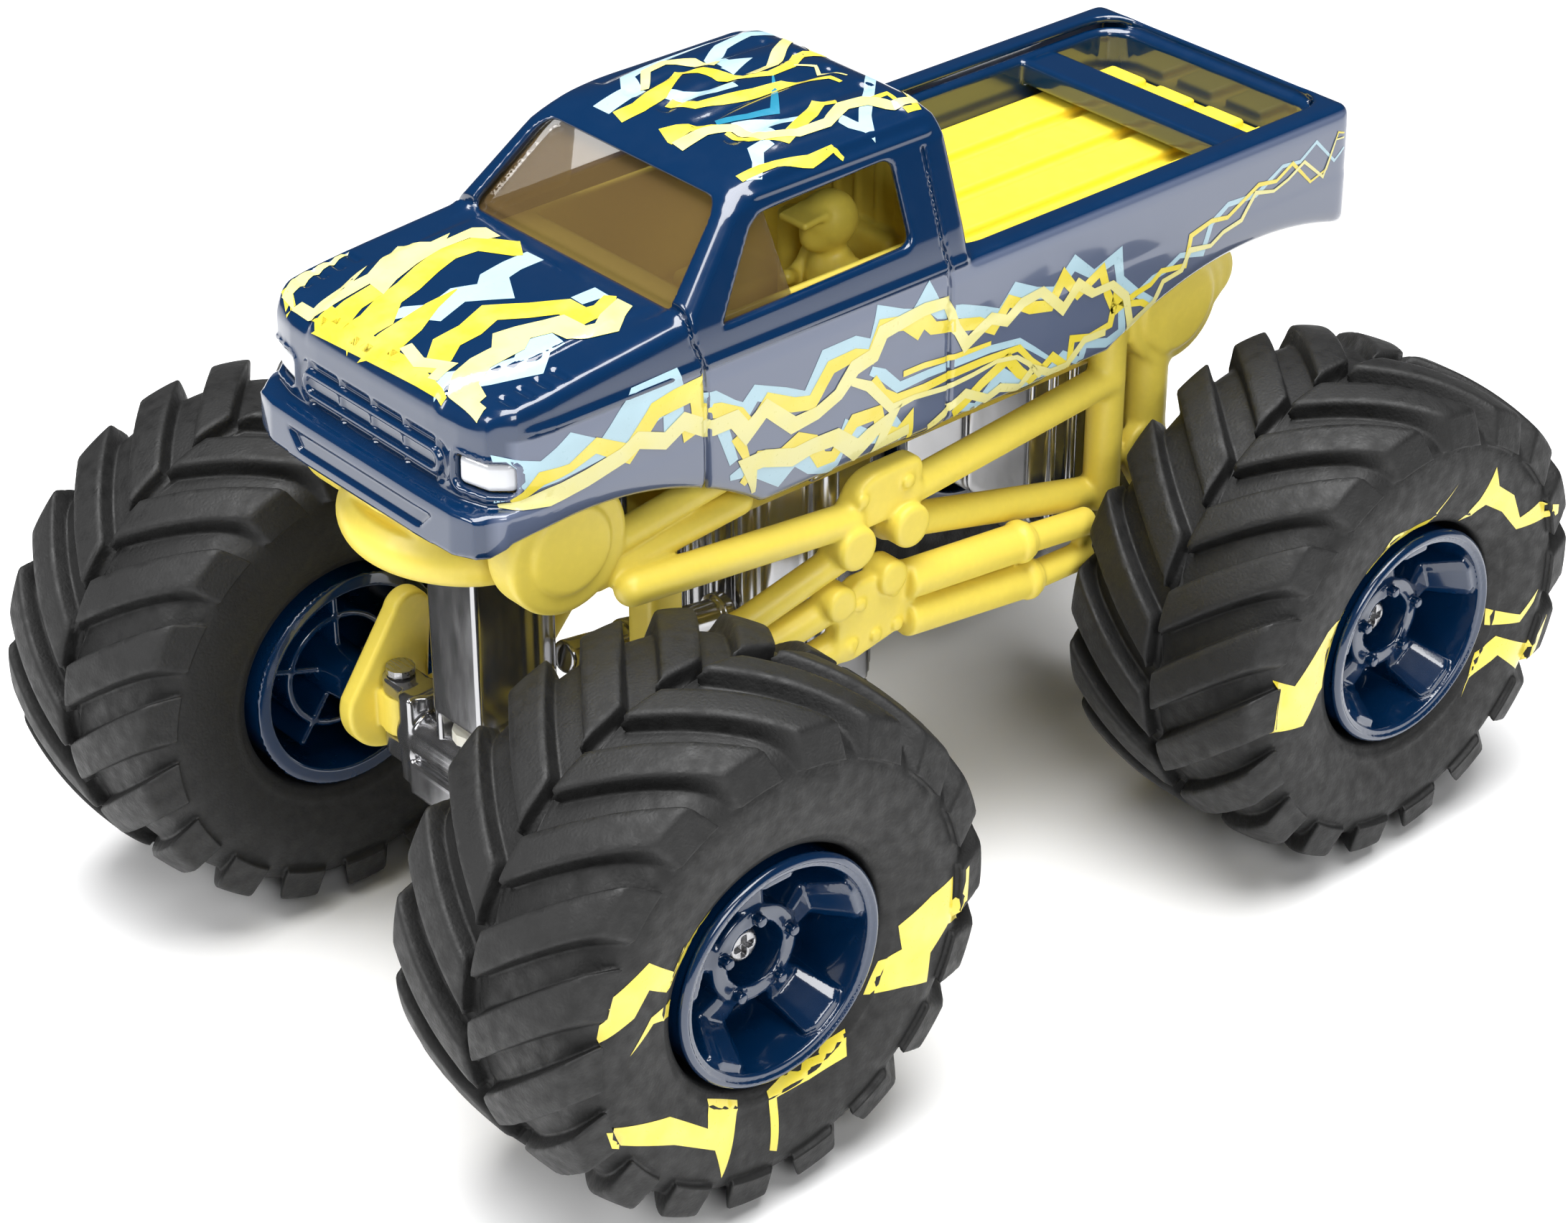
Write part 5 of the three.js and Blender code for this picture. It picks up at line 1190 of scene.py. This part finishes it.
REAR_WALL_BOLTS = [
    [(-36.7,-3.8),(-36.1,6.3),(-31.7,3.8),(-23.5,10.8),(-17.6,12.2),(-19.6,8.2),(-23.3,-.6),(-28.6,-5.5)],
    [(37.1,-10),(32.5,-14.4),(23.5,-9.3),(19.2,-11.5),(15.7,-18.9),(17.5,-15.8),(22.5,-14),(24,-13.3),(31,-19.6),
     (35,-16.5)],
    [(33.6,-3.3),(28.9,-6.7),(21.4,-3.3),(21.2,-6.5),(29,-8.3),(32.5,-5.5)],
    [(17.2,27.7),(18.5,23.5),(23,20),(25.5,14.5),(31,15.5),(36.8,12.8),(36.5,11.2),(25,12.3),(20.5,17.5),(16,20.5),
     (12,18.9),(10.8,18.6),(14,22.2)],
    [(7.1,28.2),(2.4,22.4),(-7.8,23.2),(-13.5,17.8),(-12.8,17.2),(-7.5,20.9),(2.2,21.3)],
]


INK_STEP = 1.1
INK_DEPTH = 1.6
INK_SLOPE = 0.25
INK_LIFTS = {"pale": 0.06, "teal": 0.08, "yellow": 0.11, "cream": 0.16}
RAY_START = 60
RAY_TOP = 200
BODY_BOLTS = [
    ("side", "pale", SIDE_PALE, SIDE_PALE_AREA), ("side", "yellow", SIDE_YELLOW, []), ("side", "cream", SIDE_CREAM, []),
    ("hood", "pale", HOOD_PALE, []), ("hood", "yellow", HOOD_YELLOW, HOOD_YELLOW_AREA),
    ("hood", "cream", HOOD_CREAM, HOOD_CREAM_AREA),
    ("roof", "pale", ROOF_PALE, []), ("roof", "teal", ROOF_TEAL, []),
    ("roof", "yellow", ROOF_YELLOW, ROOF_YELLOW_AREA), ("roof", "cream", ROOF_CREAM, []),
]


def ribbon_outlines(points):
    """The four-sided stretches of a bolt that runs through points, with mitred bends."""
    at = [np.array(p[:2], float) for p in points]
    edges = []
    for i, p in enumerate(at):
        first = max(i - 1, 0)
        ways = [(b - a) / np.linalg.norm(b - a) for a, b in zip(at[first:i + 1], at[first + 1:i + 2])]
        way = sum(ways)
        way = way / max(np.linalg.norm(way), 1e-6)
        side = np.array([-way[1], way[0]])
        square = abs(float(side @ np.array([-ways[0][1], ways[0][0]])))
        half = points[i][2] / 2 / max(square, 0.5)
        edges.append((p + side * half, p - side * half))
    return [[a[0], b[0], b[1], a[1]] for a, b in zip(edges, edges[1:])]


def cut_up(outlines, step):
    """Flat faces for the outlines, cut along a grid so that they can follow a curved surface."""
    flat = bmesh.new()
    for outline in outlines:
        corners = [flat.verts.new((float(p[0]), float(p[1]), 0)) for p in outline]
        face = flat.faces.new(corners)
        face.normal_update()
        if face.normal.z < 0:
            face.normal_flip()
    bmesh.ops.triangulate(flat, faces=flat.faces[:])
    spread = np.array([v.co[:2] for v in flat.verts])
    for axis in (0, 1):
        for at in np.arange(spread[:, axis].min() + step * 0.37, spread[:, axis].max(), step):
            place_at, normal = [0, 0, 0], [0, 0, 0]
            place_at[axis], normal[axis] = float(at), 1
            parts = flat.verts[:] + flat.edges[:] + flat.faces[:]
            bmesh.ops.bisect_plane(flat, geom=parts, plane_co=place_at, plane_no=normal)
    bmesh.ops.triangulate(flat, faces=flat.faces[:])
    flat.verts.index_update()
    points = np.array([v.co[:2] for v in flat.verts])
    faces = np.array([[v.index for v in f.verts] for f in flat.faces])
    flat.free()
    return points, faces


def printed(tree, outlines, start, way, lift):
    """Thin ink faces laid on a surface. start(u, v) is where each ray begins, and way is its direction."""
    flat, faces = cut_up(outlines, INK_STEP)
    laid = np.full((len(flat), 3), np.nan)
    for i, (u, v) in enumerate(flat):
        hit, normal, _, _ = tree.ray_cast(Vector(start(u, v)), Vector(way))
        if hit is not None and -normal.dot(Vector(way)) > INK_SLOPE:
            laid[i] = hit + normal * lift
    along = int(np.argmax(np.abs(way)))
    corners = laid[faces]
    good = ~np.isnan(corners).any((1, 2))
    good &= np.ptp(np.nan_to_num(corners[:, :, along]), 1) < INK_DEPTH
    faces = faces[good]
    used = np.unique(faces)
    index = np.zeros(len(flat), int)
    index[used] = np.arange(len(used))
    return laid[used], index[faces]


def facing(points, faces, way):
    """The same faces, turned so that they look back along the rays."""
    a, b, c = (points[faces[:, i]] for i in range(3))
    front = np.cross(b - a, c - a) @ np.array(way) < 0
    return points, np.where(front[:, None], faces, faces[:, ::-1])


def surface_tree(thing):
    points = [tuple(c / MM for c in v.co) for v in thing.data.vertices]
    return BVHTree.FromPolygons(points, [tuple(p.vertices) for p in thing.data.polygons])


def make_bolts(body_look):
    tree = surface_tree(body_look)
    for zone, tone, ribbons, outlines in BODY_BOLTS:
        flat = [stretch for ribbon in ribbons for stretch in ribbon_outlines(ribbon)] + outlines
        if zone == "side":
            ways = [("left", (-1, 0, 0), lambda u, v: (RAY_START, u, v)),
                    ("right", (1, 0, 0), lambda u, v: (-RAY_START, u, v))]
        else:
            ways = [("top", (0, 0, -1), lambda u, v: (u, v, RAY_TOP))]
        for side, way, start in ways:
            geometry = facing(*printed(tree, flat, start, way, INK_LIFTS[tone]), way)
            place(f"bolts_{zone}_{tone}_{side}", geometry, INKS[tone], "chassis", "navy_body")


def make_wall_bolts():
    for name, body_name in WHEELS.items():
        tree = surface_tree(bpy.data.objects[f"tyre_{name}_look"])
        centre = WHEEL_CENTRE[name]
        way = (-math.copysign(1, centre[0]), 0, 0)
        flat = WALL_BOLTS if name.startswith("front") else REAR_WALL_BOLTS

        def start(u, v):
            return (centre[0] - way[0] * RAY_START, centre[1] + u, centre[2] + v)

        geometry = facing(*printed(tree, flat, start, way, INK_LIFTS["pale"]), way)
        place(f"bolts_tyre_{name}", geometry, INKS["yellow"], body_name, "tyre_rubber")


# ---------------------------------------------------------------- floor, light and camera


FLOOR_HALF = 3.0
CAMERA_AT = (0.41498, -0.37002, 0.38498)
CAMERA_TARGET = (0.01311, -0.01667, 0.05673)
LENS_MM = 85.536
SENSOR_MM = 36
LIGHTS = [
    ("overhead", (0.1, -0.1, 2.2), (0, 0, 0), 1.9, 105),
    ("front", (1.4, -0.6, 1.0), (0, 0, 0.06), 0.7, 12),
    ("left", (-0.5, -1.5, 1.1), (0, 0, 0.06), 0.7, 14),
]


def make_floor():
    data = bpy.data.meshes.new("floor")
    corners = [(-1, -1), (1, -1), (1, 1), (-1, 1)]
    data.from_pydata([(x * FLOOR_HALF, y * FLOOR_HALF, 0) for x, y in corners], [], [(0, 1, 2, 3)])
    paint = Paint("floor_white", (0.9, 0.9, 0.9, 1), 0.8)
    paint.blend_colour(paint.ramp(paint.noise(6), 0.3, 0.7, 0, 0.1), (0.86, 0.86, 0.87, 1))
    data.materials.append(paint.material)
    in_scene("floor", data)


def aim(thing, location, target):
    thing.location = location
    thing.rotation_euler = (Vector(target) - Vector(location)).to_track_quat("-Z", "Y").to_euler()


def make_light():
    world = bpy.data.worlds.new("studio")
    world.use_nodes = True
    background = world.node_tree.nodes["Background"]
    background.inputs["Color"].default_value = (0.95, 0.97, 1, 1)
    background.inputs["Strength"].default_value = 0.05
    bpy.context.scene.world = world
    for name, location, target, size, power in LIGHTS:
        data = bpy.data.lights.new(name, "AREA")
        data.energy = power
        data.size = size
        aim(in_scene(name, data), location, target)
    bpy.context.scene.view_settings.view_transform = "Standard"


def make_camera():
    data = bpy.data.cameras.new("camera")
    data.lens = LENS_MM
    data.sensor_width = SENSOR_MM
    camera = in_scene("camera", data)
    aim(camera, CAMERA_AT, CAMERA_TARGET)
    bpy.context.scene.camera = camera


make_wheels()
make_bolts(make_parts())
make_wall_bolts()
make_floor()
make_light()
make_camera()
